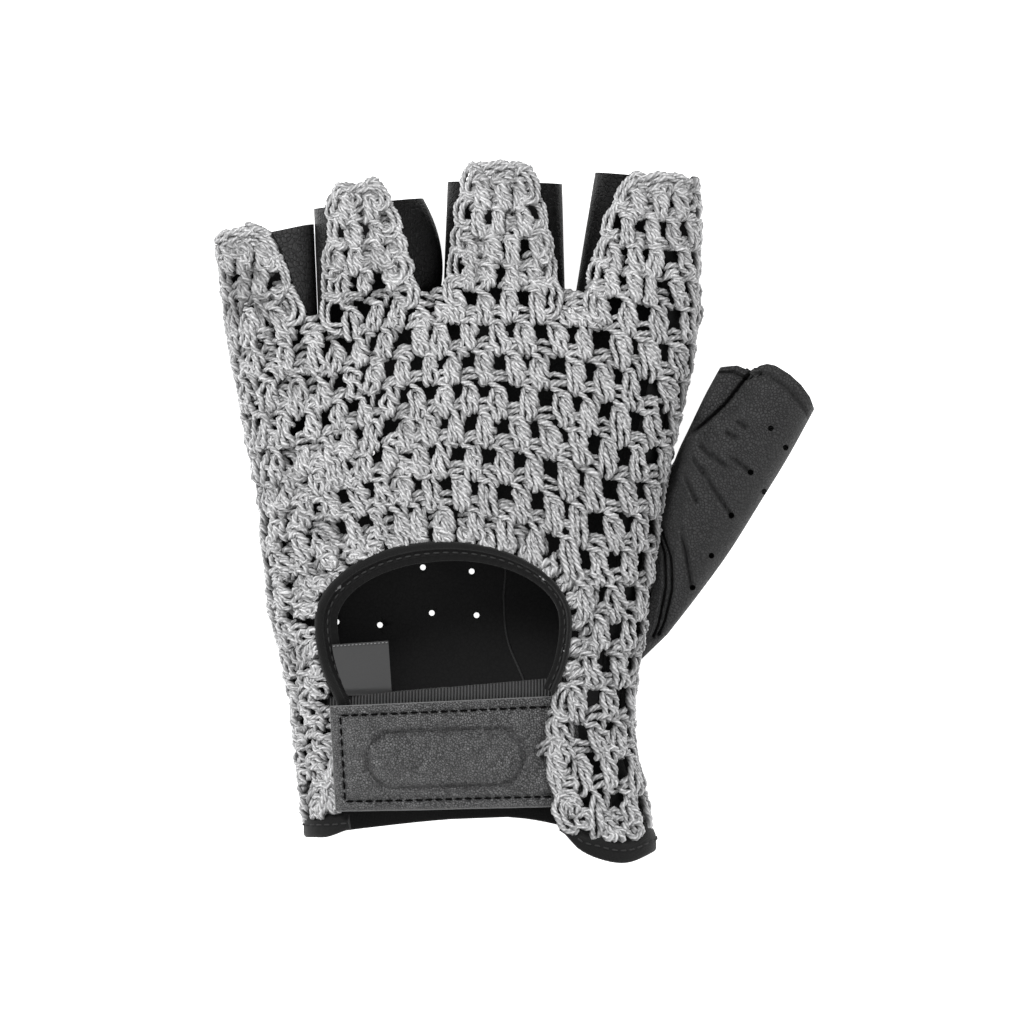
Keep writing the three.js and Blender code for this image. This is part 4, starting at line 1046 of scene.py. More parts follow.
def wall_grid(left_name, right_name, levels=12, steps=14):
    """A wall between two fingers: from the crochet strip down the side of one to the palm's front, along
    its length, round the crotch and up the side of the next."""
    level = np.linspace(0, 1, levels)[:, None]
    along = np.linspace(0.045, 1, steps)[None, :]

    def side(name, on_right):
        edges = strip_edges(name, np.minimum(along / strip_length(name), 1))[1 if on_right else 0]
        centre, reach, _, _ = finger_section(FINGERS[name], along)
        half = np.linalg.norm(reach, axis=-1)
        seam = ((edges - centre) * reach).sum(-1) / half ** 2 + (-0.02 if on_right else 0.02)
        high = np.arccos(signed_power(np.clip(seam, -0.985, 0.985), TOP_BULGE / 2))
        front = FRONT_TURN - WALL_LAP
        low = BOTTOM + front - 2 * np.pi if on_right else BOTTOM - front
        turn = high + (low - high) * level
        return round_finger(name, along + 0 * turn, turn)

    left, right = side(left_name, True), side(right_name, False)
    crotch = (left[:, :1] + right[:, :1]) / 2 - [0, 0.8, 0]
    return np.concatenate([right[:, ::-1], crotch, left], axis=1)


def near_line(points, line):
    """Distance of points in the table's plane from a broken line, and how far along it they lie, 0 to 1."""
    best = np.full(points.shape[:-1], 1e9)
    along = np.zeros(points.shape[:-1])
    for k in range(len(line) - 1):
        start, step = line[k], line[k + 1] - line[k]
        t = np.clip(((points - start) @ step) / (step @ step), 0, 1)
        away = np.linalg.norm(points - start - t[..., None] * step, axis=-1)
        along = np.where(away < best, (k + t) / (len(line) - 1), along)
        best = np.minimum(best, away)
    return best, along


def dent(away, wide):
    """A groove's depth beside its line: 1 on it, falling as a bell curve."""
    return np.exp(-(away / wide) ** 2)


def thumb_grid(around=210, along=130):
    """The thumb's tube from its open end to the hand: superellipse sections between two edges. Its near
    layer is a section of its own that folds over a lower far one along a slanting line; a hem stands out at
    the mouth, creases are pressed in as dents that fade along their lines, and short wrinkles cross the
    fold."""
    turn = -2 * np.pi * np.arange(around)[None, :] / around
    share = np.linspace(1, 0, along)[:, None]
    table = dict(THUMB, at=np.linspace(0, 1, 6))
    left_x, left_y, right_x, right_y, height = (
        follow(table, key, share, "at") for key in ("left_x", "left_y", "right_x", "right_y", "height"))
    power = np.where(np.sin(turn) >= 0, THUMB_TOP, THUMB_UNDER)
    across = signed_power(np.cos(turn), 2 / power) + 0 * share
    rise = signed_power(np.sin(turn), 2 / power) + 0 * share

    along_fold = np.clip((share - THUMB_FOLD["start"]) / (1 - THUMB_FOLD["start"]), 0, 1)
    fold = -1 + THUMB_FOLD["reach"] * along_fold
    own = np.clip((across - fold) / (1 - fold) * 2 - 1, -1, 1)
    near = bow(np.abs(own), THUMB_TOP)
    near = np.where(own < 0, np.maximum(near, 0.72 * (own > -1)), near)
    folded = smooth(-fold, 1.0, 0.75)
    tuck = THUMB_FOLD["tuck"] * dent(fold - 0.03 - across, 0.035)
    plain = height / 2 * (1 + rise)
    low = plain - (THUMB_FOLD["low"] + tuck) * folded * np.maximum(rise, 0)
    high = height / 2 * (1 + near)
    top = np.where(across > fold, high * folded + plain * (1 - folded), low)
    z = np.where(rise > 0, top, plain + rise * SETTLE)

    t = (across + 1) / 2
    out = np.interp(across, THUMB_LIP["across"], THUMB_LIP["out"]) * smooth(share, 0.8, 1.0)
    tip = unit(np.array([left_x[0, 0] - left_x[-1, 0], left_y[0, 0] - left_y[-1, 0]]))
    x = left_x + (right_x - left_x) * t + out * tip[0]
    y = left_y + (right_y - left_y) * t + out * tip[1]

    upper = np.clip(rise * 3, 0, 1)
    for line in THUMB_CREASES:
        away, where = near_line(np.stack([x, y], -1), np.array(line))
        z = z - upper * CREASE["deep"] * dent(away, CREASE["wide"]) * smooth(where, 0.0, CREASE["fade"])
        z = z + upper * CREASE["ridge"] * dent(away - CREASE["ridge_away"], CREASE["ridge_wide"])
    from_hem = (1 - share) * THUMB_LONG - THUMB_HEM
    z = z - upper * HEM_GROOVE["deep"] * dent(from_hem, HEM_GROOVE["wide"])
    z = z + HEM_GROOVE["rise"] * upper * smooth(-from_hem, -0.2, 0.3)
    past = across - fold
    beside = smooth(past, 0.0, 0.1) * (1 - smooth(past, 0.25, 0.7)) * smooth(share, 0.3, 0.5)
    wrinkle = 0.24 * np.sin(64 * share + 9 * across + 2 * np.sin(23 * share)) * beside * np.maximum(rise, 0)
    far = smooth(-past, 0.0, 0.2) * smooth(share, 0.9, 0.6)
    wrinkle += 0.2 * np.sin(46 * share - 5 * across) * far * upper
    wrinkle += 0.3 * np.sin(14 * share + 6 * across) * upper * smooth(share, 0.5, 0.3)
    grid = np.stack([x, y, np.maximum(z + wrinkle, 0)], -1)

    steps = np.linspace(0, 1, 17)[1:, None, None]
    grid = np.concatenate([grid, grid[-1][None] * (1 - steps) + thumb_root(turn) * steps])
    for line in THUMB_SEAMS:
        away, _ = near_line(grid[..., :2], np.array(line))
        grid[..., 2] -= SEAM_GROOVE["deep"] * (np.sin(turn) > 0) * dent(away, SEAM_GROOVE["wide"])
    return grid


def thumb_root(turn):
    """Where the thumb's tube meets the hand's side: a superellipse laid on that side."""
    power = np.where(np.sin(turn) >= 0, 2, 3)
    run = (1 - signed_power(np.cos(turn), 2 / power)) / 2
    rise = (1 + signed_power(np.sin(turn), 2 / power)) / 2
    y = THUMB_ROOT["bottom"] + (THUMB_ROOT["top"] - THUMB_ROOT["bottom"]) * run
    z = THUMB_ROOT["low"] + (THUMB_ROOT["high"] - THUMB_ROOT["low"]) * rise
    middle, half, height, widest = hand_section(y)
    across, _, _ = across_at(z, height, widest, HAND_UNDER)
    return np.stack([middle + half * across + THUMB_ROOT["reach"], y, z], -1)


# Trim

def on_edge(points):
    """Points of a path in the table's plane, lifted to the crochet's underside, with side and up."""
    z = back_height(points[:, 0], points[:, 1]) - CROCHET_THICK
    at = np.column_stack([points, z])
    along = unit(np.gradient(points, axis=0))
    side = np.column_stack([along[:, 1], -along[:, 0], np.zeros(len(points))])
    return at, side, upward(len(points))


# Profiles in mm, inward from the edge and up from the crochet's underside or the glove's face: the opening's
# round piping, the flat facing inside it and the wrist's folded tape
PIPING = [(0.1, 0.5), (0.0, 1.2), (0.0, 2.0), (0.3, 2.7), (0.7, 3.0), (1.1, 2.95), (1.5, 2.6), (1.75, 2.0),
          (1.9, 1.55), (2.2, 1.45), (3.3, 1.15), (3.25, 0.0), (2.0, 0.4), (1.0, 0.2)]
FACING = [(2.9, 0.9), (3.0, 1.15), (3.4, 1.08), (4.3, 0.55), (4.6, 0.2), (4.55, -0.1), (4.2, -0.2),
          (3.0, 0.1)]
FOLDED_TAPE = [(0.1, -1.0), (0.45, -1.35), (3.3, -1.4), (5.0, -1.5), (6.8, -1.7), (6.8, -1.4), (5.1, -0.9),
               (4.6, -0.4), (3.6, 0.0), (2.4, 0.1), (1.0, 0.12), (0.4, -0.05), (0.05, -0.4)]
WRIST = -73.0


def hem_stops(first_x, last_x, count=150):
    """Stops of the wrist tape, with side and up: from the inner corner of one leg round the palm to that of
    the other."""
    middle, half, _, _ = hand_section(WRIST)
    first, last = (np.arccos(signed_power((x - middle) / half, TOP_BULGE / 2)) for x in (first_x, last_x))
    turn = np.linspace(first, last - 2 * np.pi, count)

    def point(t):
        y = np.full_like(t, WRIST)
        for _ in range(5):
            x = np.clip(round_hand(t, y)[:, 0], *HEM_ENDS)
            y = np.where(np.sin(t) >= 0, follow(HEM_BACK, "y", x, "x"), follow(HEM_PALM, "y", x, "x"))
        return round_hand(t, y)

    at = point(turn)
    along = unit(point(turn - 0.03) - point(turn + 0.03))
    _, half, height, _ = hand_section(at[:, 1])
    power = np.where(np.sin(turn) >= 0, TOP_BULGE, HAND_UNDER)
    up = np.stack([signed_power(np.cos(turn), 2 - 2 / power) / half, 0 * turn,
                   signed_power(np.sin(turn), 2 - 2 / power) / (height / 2)], -1)
    up = unit(unit(up) - along * (unit(up) * along).sum(-1, keepdims=True))
    side = np.cross(up, along) * np.sqrt(1 - along[:, 1:2] ** 2)
    return at, side, up


# The strap: ends, top corners, depth at its left end, how much deeper and further right it is at the other
# end and at its foot, and its thickness; its topstitching and the pressed panel between two round ends
STRAP = {"left": -40.7, "right": 14.5, "top_left": -43.6, "top_right": -41.2, "deep": 23.4, "deeper": 1.3,
         "slant": 1.3, "thick": 2.4}
STRAP_LONG = STRAP["right"] - STRAP["left"]
STITCH_INSET = 2.1
PANEL = {"x": 25.2, "y": 12.6, "straight": 11.5, "reach": 6.2, "line": 0.62}
UNDERLAP = {"left": -40.9, "right": 12.5, "top_left": -41.6, "top_right": -37.0, "deep": 22.5}
RIB_PITCH = 0.72
LABEL = {"left": -40.3, "right": -27.7, "top": -29.8, "deep": 11.4}


def strap_bottom(x, y):
    """Height of the strap's underside: over the left leg, then passing under the right one."""
    under = CROCHET_THICK + STRAP["thick"] + 2 * CLEARANCE
    return back_height(x, y) + CLEARANCE - under * smooth(x, -30, 4)


def strap_point(u, v, lift):
    """A point of the strap: u from left to right, v down from its top edge, lift over its underside."""
    x = STRAP["left"] + STRAP_LONG * u + STRAP["slant"] * v
    top = STRAP["top_left"] + (STRAP["top_right"] - STRAP["top_left"]) * u
    y = top - (STRAP["deep"] + STRAP["deeper"] * u) * v
    return np.stack([x, y, strap_bottom(x, y) + lift], -1)


def strap_relief(u, v):
    """Height of the strap's face over its edge: a rise from the cut edge to the padded middle past the groove
    of the topstitching, a panel pressed in with a line round it, and slow waves from wear."""
    x, y = u * STRAP_LONG, v * STRAP["deep"]
    border = np.minimum(np.minimum(x, STRAP_LONG - x), np.minimum(y, STRAP["deep"] - y))
    pad = 0.35 * smooth(border, 0, 0.5) + 0.45 * smooth(border, STITCH_INSET, 3.8)
    pad -= 0.3 * dent(border - STITCH_INSET, 0.35)
    reach = np.hypot(np.maximum(np.abs(x - PANEL["x"]) - PANEL["straight"], 0), y - PANEL["y"])
    pad += 0.2 * smooth(-reach, -6.0, -3.0) - dent(reach - PANEL["reach"], PANEL["line"])
    wave = np.sin(0.9 * x + 1.3 * np.sin(0.5 * y)) * np.sin(0.6 * y + 0.4 * x)
    return pad + 0.16 * wave * smooth(border, 2, 5)


# Materials

def feed(tree, socket, value):
    """Links a socket to another one's output, or sets its own value."""
    if hasattr(value, "is_output"):
        tree.links.new(value, socket)
    else:
        socket.default_value = value


def add_node(tree, kind, **values):
    """A shader node with its properties and input values set by name."""
    made = tree.nodes.new(kind)
    for key, value in values.items():
        label = key.replace("_", " ")
        if label in made.inputs.keys():
            feed(tree, made.inputs[label], value)
        else:
            setattr(made, key, value)
    return made


def math_node(tree, operation, *values, clamp=False):
    """The result of a maths node fed with values or other nodes' outputs."""
    made = add_node(tree, "ShaderNodeMath", operation=operation, use_clamp=clamp)
    for socket, value in zip(made.inputs, values):
        feed(tree, socket, value)
    return made.outputs[0]


def new_group(name, inputs, outputs):
    """An empty shader group with named sockets."""
    tree = bpy.data.node_groups.new(name, "ShaderNodeTree")
    kinds = {"float": "NodeSocketFloat", "colour": "NodeSocketColor", "vector": "NodeSocketVector"}
    for label, kind, default in inputs:
        socket = tree.interface.new_socket(label, in_out="INPUT", socket_type=kinds[kind])
        if default is not None:
            socket.default_value = default
    for label, kind in outputs:
        tree.interface.new_socket(label, in_out="OUTPUT", socket_type=kinds[kind])
    return tree, tree.nodes.new("NodeGroupInput").outputs, tree.nodes.new("NodeGroupOutput").inputs


def stretched(tree, vector, scale):
    """Coordinates scaled by a factor along each axis."""
    return add_node(tree, "ShaderNodeMapping", Vector=vector, Scale=scale).outputs[0]


def noise(tree, vector, scale, detail=2.0, rough=0.5):
    """Soft noise from 0 to 1."""
    made = add_node(tree, "ShaderNodeTexNoise", Vector=vector, Scale=scale, Detail=detail, Roughness=rough)
    return made.outputs[0]


def blend_colour(tree, factor, a, b):
    """A colour between two others."""
    made = add_node(tree, "ShaderNodeMix", data_type="RGBA")
    for socket, value in zip((made.inputs[0], made.inputs[6], made.inputs[7]), (factor, a, b)):
        feed(tree, socket, value)
    return made.outputs[2]


def yarn_group():
    """Melange cotton: four soft plies round a strand with painted shade in the grooves between them, fine
    fibres and flecks along it, uneven spun colour, and painted shade on a strand's sides and deep in the net."""
    tree, given, result = new_group(
        "Melange yarn",
        [("Along", "vector", None), ("Place", "vector", None), ("Facing", "float", 0.5),
         ("Near", "float", 1.0), ("Light", "colour", (0.5, 0.5, 0.5, 1)),
         ("Dark", "colour", (0.1, 0.1, 0.1, 1))],
        [("Colour", "colour"), ("Height", "float")])
    calc = partial(math_node, tree)
    parts = add_node(tree, "ShaderNodeSeparateXYZ", Vector=given["Along"])
    drift = noise(tree, stretched(tree, given["Along"], (2, 0.5, 1)), 1.0, 2.0)
    plies = 4
    turn = calc("MULTIPLY_ADD", parts.outputs[0], plies * 2 * math.pi, calc("MULTIPLY_ADD", drift, 3.0, -1.5))
    ply = calc("MULTIPLY_ADD", calc("COSINE", turn), 0.5, 0.5)
    fibre = noise(tree, stretched(tree, given["Along"], (36, 1.6, 1)), 1.0, 4.0, 0.7)
    fleck = noise(tree, stretched(tree, given["Along"], (9, 0.5, 1)), 1.0, 2.0, 0.6)
    patch = noise(tree, given["Place"], 260.0, 2.0)
    # Painted shade: the colour is darker in the grooves between plies.
    total = calc("MULTIPLY_ADD", calc("POWER", ply, 0.7), 0.46, 0.33)
    for source, share in ((fibre, 0.9), (fleck, 0.6), (patch, 0.35)):
        total = calc("ADD", total, calc("MULTIPLY_ADD", source, share, -share / 2), clamp=True)
    # Painted shade: darker on a strand's sides and underside, and on strands that lie deep in the net.
    side = calc("MULTIPLY_ADD", calc("POWER", given["Facing"], 2.2), 0.98, 0.02)
    deep = calc("MULTIPLY_ADD", given["Near"], 0.8, 0.2)
    lit = calc("MULTIPLY", total, calc("MULTIPLY", side, deep), clamp=True)
    tone = calc("POWER", lit, 1.18)
    tree.links.new(blend_colour(tree, tone, given["Dark"], given["Light"]), result["Colour"])
    tree.links.new(calc("MULTIPLY_ADD", fibre, 0.5, ply), result["Height"])


def leather_group():
    """Leather grain: small pebbles, lighter than the fine valleys between them, long soft creases and a slow
    unevenness of tone.
    """
    tree, given, result = new_group(
        "Leather grain",
        [("Place", "vector", None), ("Grain", "float", 900.0), ("Crease", "float", 0.5)],
        [("Mask", "float"), ("Height", "float")])
    calc = partial(math_node, tree)
    warp = add_node(tree, "ShaderNodeVectorMath", operation="SCALE", Scale=1.2 * MM)
    tree.links.new(noise(tree, given["Place"], 300.0), warp.inputs[0])
    bent = add_node(tree, "ShaderNodeVectorMath", operation="ADD")
    tree.links.new(given["Place"], bent.inputs[0])
    tree.links.new(warp.outputs[0], bent.inputs[1])
    cells = add_node(tree, "ShaderNodeTexVoronoi", feature="DISTANCE_TO_EDGE", Vector=bent.outputs[0],
                     Scale=given["Grain"])
    pebble = calc("MULTIPLY", cells.outputs["Distance"], 7.0, clamp=True)
    fine = noise(tree, given["Place"], 3200.0)
    broad = noise(tree, given["Place"], 120.0, 3.0, 0.6)
    valley = calc("ABSOLUTE", calc("SUBTRACT", broad, 0.5))
    creased = calc("MULTIPLY", valley, 6.0, clamp=True)
    crease = calc("MULTIPLY", calc("SUBTRACT", creased, 1.0), given["Crease"])
    height = calc("ADD", calc("MULTIPLY", pebble, 0.6), calc("MULTIPLY_ADD", fine, 0.35, crease))
    tree.links.new(height, result["Height"])
    mask = calc("ADD", calc("MULTIPLY", pebble, 0.7), calc("MULTIPLY", broad, 0.4), clamp=True)
    tree.links.new(mask, result["Mask"])


def weave_group():
    """Narrow woven tape: ribs across it and threads along it, as the sum of two waves, with a rough tone."""
    tree, given, result = new_group(
        "Tape weave",
        [("Along", "vector", None), ("Ribs", "float", 2.2), ("Threads", "float", 3.0)],
        [("Mask", "float"), ("Height", "float")])
    calc = partial(math_node, tree)
    parts = add_node(tree, "ShaderNodeSeparateXYZ", Vector=given["Along"])
    waves = []
    for place, count in ((parts.outputs[1], given["Ribs"]), (parts.outputs[0], given["Threads"])):
        waves.append(calc("SINE", calc("MULTIPLY", calc("MULTIPLY", place, count), 6.28)))
    height = calc("ADD", calc("MULTIPLY_ADD", waves[0], 0.35, 0.5), calc("MULTIPLY", waves[1], 0.2))
    rough = noise(tree, stretched(tree, given["Along"], (6, 6, 1)), 1.0)
    tree.links.new(calc("MULTIPLY_ADD", rough, 0.3, height), result["Height"])
    tree.links.new(calc("MULTIPLY", height, rough, clamp=True), result["Mask"])


def new_material(name, roughness, **uniform):
    """A material with its shader node, whose whole-surface values stand on the shader's own sockets."""
    material = bpy.data.materials.new(name)
    material.use_nodes = True
    tree = material.node_tree
    shader = tree.nodes["Principled BSDF"]
    shader.inputs["Roughness"].default_value = roughness
    for key, value in uniform.items():
        shader.inputs[key.replace("_", " ")].default_value = value
    return material, tree, shader


def add_group(tree, name, **values):
    """A shared effect used in a material, with its inputs fed by name."""
    return add_node(tree, "ShaderNodeGroup", node_tree=bpy.data.node_groups[name], **values)


def along_piece(tree):
    """A piece's own UV, which runs across and along it."""
    return add_node(tree, "ShaderNodeUVMap", uv_map="Along").outputs[0]


def object_place(tree):
    """The place on a piece in metres."""
    return add_node(tree, "ShaderNodeTexCoord").outputs["Object"]


def use_bump(tree, shader, height, strength, relief):
    """Fine relief, its depth in mm, on a material's own shader."""
    bump = add_node(tree, "ShaderNodeBump", Height=height, Strength=strength, Distance=relief * MM)
    tree.links.new(bump.outputs[0], shader.inputs["Normal"])


def grey(level):
    """A faintly cool grey."""
    return (level, level, level * 1.01, 1)


def yarn_material(name, light, dark):
    """Cotton yarn with a soft sheen."""
    _, tree, shader = new_material(
        name, 0.95, Sheen_Weight=0.15, Sheen_Roughness=0.6, Specular_IOR_Level=0.15)
    # Kept per point: how far it faces up and how deep its strand lies, which the group turns into painted
    # shade.
    facing, near = (add_node(tree, "ShaderNodeAttribute", attribute_name=kept).outputs["Fac"]
                    for kept in ("facing", "near"))
    group = add_group(tree, "Melange yarn", Along=along_piece(tree), Place=object_place(tree), Facing=facing,
                      Near=near, Light=grey(light), Dark=grey(dark))
    tree.links.new(group.outputs["Colour"], shader.inputs["Base Color"])
    use_bump(tree, shader, group.outputs["Height"], 0.7, 0.2)


def two_tones(tree, shader, mask, low, high):
    """Colours a material by a mask between two greys."""
    tone = blend_colour(tree, mask, grey(low), grey(high))
    tree.links.new(tone, shader.inputs["Base Color"])


def leather_material(name, low, high, roughness, shine, grain, crease, bump, relief):
    """Leather, from its brightness in the valleys to that on its high spots."""
    _, tree, shader = new_material(name, roughness, Specular_IOR_Level=shine)
    group = add_group(tree, "Leather grain", Place=object_place(tree), Grain=grain, Crease=crease)
    two_tones(tree, shader, group.outputs["Mask"], low, high)
    use_bump(tree, shader, group.outputs["Height"], bump, relief)


def tape_material(name, low, high, ribs, threads, bump):
    """Woven tape, from its brightness between threads to that on them."""
    _, tree, shader = new_material(name, 0.85, Sheen_Weight=0.1, Specular_IOR_Level=0.2)
    group = add_group(tree, "Tape weave", Along=along_piece(tree), Ribs=ribs, Threads=threads)
    two_tones(tree, shader, group.outputs["Mask"], low, high)
    use_bump(tree, shader, group.outputs["Height"], bump, 0.15)


def plain_material(name, level, roughness=0.8, shine=0.5):
    """Thread, or the strap's lighter edge rim painted as a highlight, with a faint unevenness of tone."""
    _, tree, shader = new_material(name, roughness, Specular_IOR_Level=shine)
    two_tones(tree, shader, noise(tree, object_place(tree), 900.0), level * 0.75, level * 1.25)


def settled(piece, slot, *nodes):
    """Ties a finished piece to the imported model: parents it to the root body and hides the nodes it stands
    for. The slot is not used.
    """
    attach(piece, "root")
    if nodes:
        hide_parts(*nodes)


def finish(surface, name, material, slot, *nodes, sharp=None):
    """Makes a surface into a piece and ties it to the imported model."""
    settled(surface.make(name, bpy.data.materials[material], sharp), slot, *nodes)


# Add-on

class GloveSizes(bpy.types.PropertyGroup):
    """Sizes that the operators read."""
    yarn_radius: bpy.props.FloatProperty(
        name="Yarn radius", description="Half the thickness of a strand of yarn", default=0.71 * MM,
        min=0.2 * MM, max=1.2 * MM, unit="LENGTH")
    wander: bpy.props.FloatProperty(
        name="Wander", description="How unevenly the stitches lie", default=1.0, min=0.0, max=3.0)
    seed: bpy.props.IntProperty(name="Seed", description="Start of the stitches' random shake", default=7)
    thread_radius: bpy.props.FloatProperty(
        name="Thread radius", description="Half the thickness of the sewing thread", default=0.22 * MM,
        min=0.1 * MM, max=0.5 * MM, unit="LENGTH")
    perforation: bpy.props.FloatProperty(
        name="Perforation", description="Radius of the leather's air holes", default=0.65 * MM,
        min=0.3 * MM, max=1.2 * MM, unit="LENGTH")


class GloveColours(bpy.types.PropertyGroup):
    """Brightness of the finishes, from black at 0 to white at 1."""
    yarn_light: bpy.props.FloatProperty(
        name="Yarn light", description="Tone of the yarn", default=1.0, min=0.0, max=1.0, subtype="FACTOR")
    # The yarn's darkest tone: what its painted shade falls to on strand sides, deep in the net and between
    # plies, and its darker fibres.
    yarn_dark: bpy.props.FloatProperty(
        name="Yarn dark", description="Tone between plies", default=0.05, min=0.0, max=1.0, subtype="FACTOR")
    palm: bpy.props.FloatProperty(
        name="Palm", description="Tone of its leather", default=0.015, min=0.0, max=1.0, subtype="FACTOR")
    # The walls' leather, set darker than the palm's as painted shade.
    walls: bpy.props.FloatProperty(
        name="Walls", description="Tone of the walls", default=0.0055, min=0.0, max=1.0, subtype="FACTOR")
    thumb: bpy.props.FloatProperty(
        name="Thumb", description="Tone of its leather", default=0.035, min=0.0, max=1.0, subtype="FACTOR")
    strap: bpy.props.FloatProperty(
        name="Strap", description="Tone of its leather", default=0.07, min=0.0, max=1.0, subtype="FACTOR")
    tape: bpy.props.FloatProperty(
        name="Tape", description="Tone of the tapes", default=0.0045, min=0.0, max=1.0, subtype="FACTOR")


# Leathers: the setting for their brightness, its multiples in the valleys and on the high spots, roughness,
# shine, pebbles in a metre, depth of the creases, strength of the relief and its depth in mm
LEATHERS = {
    "palm_hide": ("palm", 0.85, 1.1, 0.7, 0.03, 1000.0, 0.3, 0.25, 0.12),
    # Walls: one leather in two copies, the first darker than the palm's as painted shade, the second lighter
    # and shinier as painted light on the pinky's wall.
    "wall_hide": ("walls", 0.2, 1.0, 0.5, 0.1, 900.0, 0.4, 0.8, 0.3),
    "lit_wall_hide": ("walls", 1.5, 4.8, 0.45, 0.3, 900.0, 0.4, 1.0, 0.3),
    "thumb_hide": ("thumb", 0.5, 1.2, 0.6, 0.15, 1500.0, 0.6, 1.0, 0.3),
    "strap_hide": ("strap", 0.05, 1.75, 0.42, 0.45, 1900.0, 1.6, 1.0, 0.5),
}


class GLOVE_OT_materials(bpy.types.Operator):
    """Builds the shared shader groups and every finish of the glove."""
    bl_idname = "glove.materials"
    bl_label = "Glove finishes"

    def execute(self, context):
        tones = context.scene.glove_colours
        yarn_group()
        leather_group()
        weave_group()
        yarn_material("grey_melange_yarn", tones.yarn_light, tones.yarn_dark)
        for name, (setting, valley, high, *look) in LEATHERS.items():
            tone = getattr(tones, setting)
            leather_material(name, tone * valley, tone * high, *look)
        tape_material("binding_tape", tones.tape * 0.6, tones.tape * 2.6, ribs=3.0, threads=3.0, bump=0.5)
        # The ribbed tape is painted far lighter once along each rib: painted highlights on the ribs.
        tape_material("ribbed_tape", tones.tape * 0.4, tones.tape * 42.0, ribs=0.0, threads=1 / RIB_PITCH,
                      bump=0.5)
        # The facing is the piping's tape in a darker copy: painted shade where it turns down into the glove.
        tape_material("shaded_facing_tape", tones.tape * 0.15, tones.tape * 0.8, ribs=0.45, threads=3.0, bump=0.5)
        tape_material("label_tape", 0.045, 0.085, ribs=4.0, threads=4.0, bump=0.3)
        # A lighter grey for the strap's edge rim: a painted highlight.
        plain_material("edge_highlight", 0.12)
        plain_material("pale_thread", 0.2)
        plain_material("sewing_thread", 0.02)
        # Black thread for the strap's stitches, also laid thick along the thumb's base seam as painted shade
        # in its grooves.
        plain_material("black_thread_and_seam_shade", 0.003, roughness=0.9, shine=0.05)
        return {"FINISHED"}


class GLOVE_OT_crochet_hand(bpy.types.Operator):
    """Crochet net over the back of the hand and down the two legs beside the wrist."""
    bl_idname = "glove.crochet_hand"
    bl_label = "Crochet of the hand"

    def execute(self, context):
        yarn = yarn_for(context, 0)
        nodes = hand_nodes()
        knots, short = fill_nodes(yarn.rng)
        parts = (("crochet_knuckles", 18, 99), ("crochet_net", -14, 18), ("crochet_legs", -99, -14))
        for name, low, high in parts:
            surface = Surface()
            here, here_knots, here_short = (
                rows[(rows[:, 1] > low) & (rows[:, 1] <= high)] for rows in (nodes, knots, short))
            add_crochet(surface, here, yarn)
            # Knots and short stitches lie lower in the net, which also paints them darker as depth shade.
            add_knots(surface, here_knots, yarn, lift=-0.7)
            add_crochet(surface, here_short, yarn, lift=-0.5)
            stands_for = ["crochet_back"] if name == "crochet_net" else []
            finish(surface, name, "grey_melange_yarn", "crochet", *stands_for)
        return {"FINISHED"}


class GLOVE_OT_crochet_fingers(bpy.types.Operator):
    """Crochet strips along the backs of the four fingers, with their scalloped edges and chained tips."""
    bl_idname = "glove.crochet_fingers"
    bl_label = "Crochet of the fingers"

    def execute(self, context):
        yarn = yarn_for(context, 1)
        hand = hand_nodes()
        for name in ORDER:
            surface = Surface()
            yarn = yarn._replace(place=on_finger(name))
            self.add_strip(surface, name, hand, yarn)
            self.add_tip(surface, name, yarn)
            finish(surface, "crochet_finger_" + name, "grey_melange_yarn", "crochet")
        return {"FINISHED"}

    def add_strip(self, surface, name, hand, yarn):
        """Stitches, worked-over gaps and the loops down the sides that face another finger."""
        stitches = finger_nodes(name, hand)
        sunk = FINGERS[name]["sunk"]
        add_crochet(surface, stitches, yarn, lift=-sunk)
        add_strands(surface, stitches, yarn, FINGER_BAR, lift=-sunk)
        add_crochet(surface, gap_nodes(name, stitches, yarn.rng), yarn, lift=-0.8 - sunk)
        for side, end in ((-1, "pinky"), (1, "index")):
            if name != end:
                add_strands(surface, side_nodes(name, side), yarn, EDGE_LOOP, lift=0.6)

    def add_tip(self, surface, name, yarn):
        """Knots and chains across the strip's rounded tip, each chain set further in and lower."""
        count, rounding = 14, 1.4  # points across the tip, and how far its corners fall back
        knot_inset, knot_spacing = 2.9, 3.6
        left, right = strip_edges(name, np.array([0.985]))
        tip = left + (right - left) * np.linspace(0.0, 1.0, count)[:, None]
        crown = FINGERS[name]["crown"] - rounding * np.abs(np.linspace(-1, 1, count)) ** 3
        spots = tip + np.stack([0 * crown, crown - knot_inset], -1)
        spots = spots[np.linspace(1, count - 2, int(np.ptp(tip[:, 0]) / knot_spacing)).astype(int)]
        knots = turned_nodes(spots, yarn.rng.normal(0.2, 0.5, len(spots)), loose=0.5)
        add_knots(surface, knots, yarn, lift=-0.5)
        for inset, out in ((0.0, -0.6), (1.5, -1.5), (2.8, -2.0), (4.2, -2.0)):
            line = tip + np.stack([0 * crown, crown - inset], -1)
            add_braid(surface, line, yarn, strands=2, swing=0.6, wave=9.0, out=out)


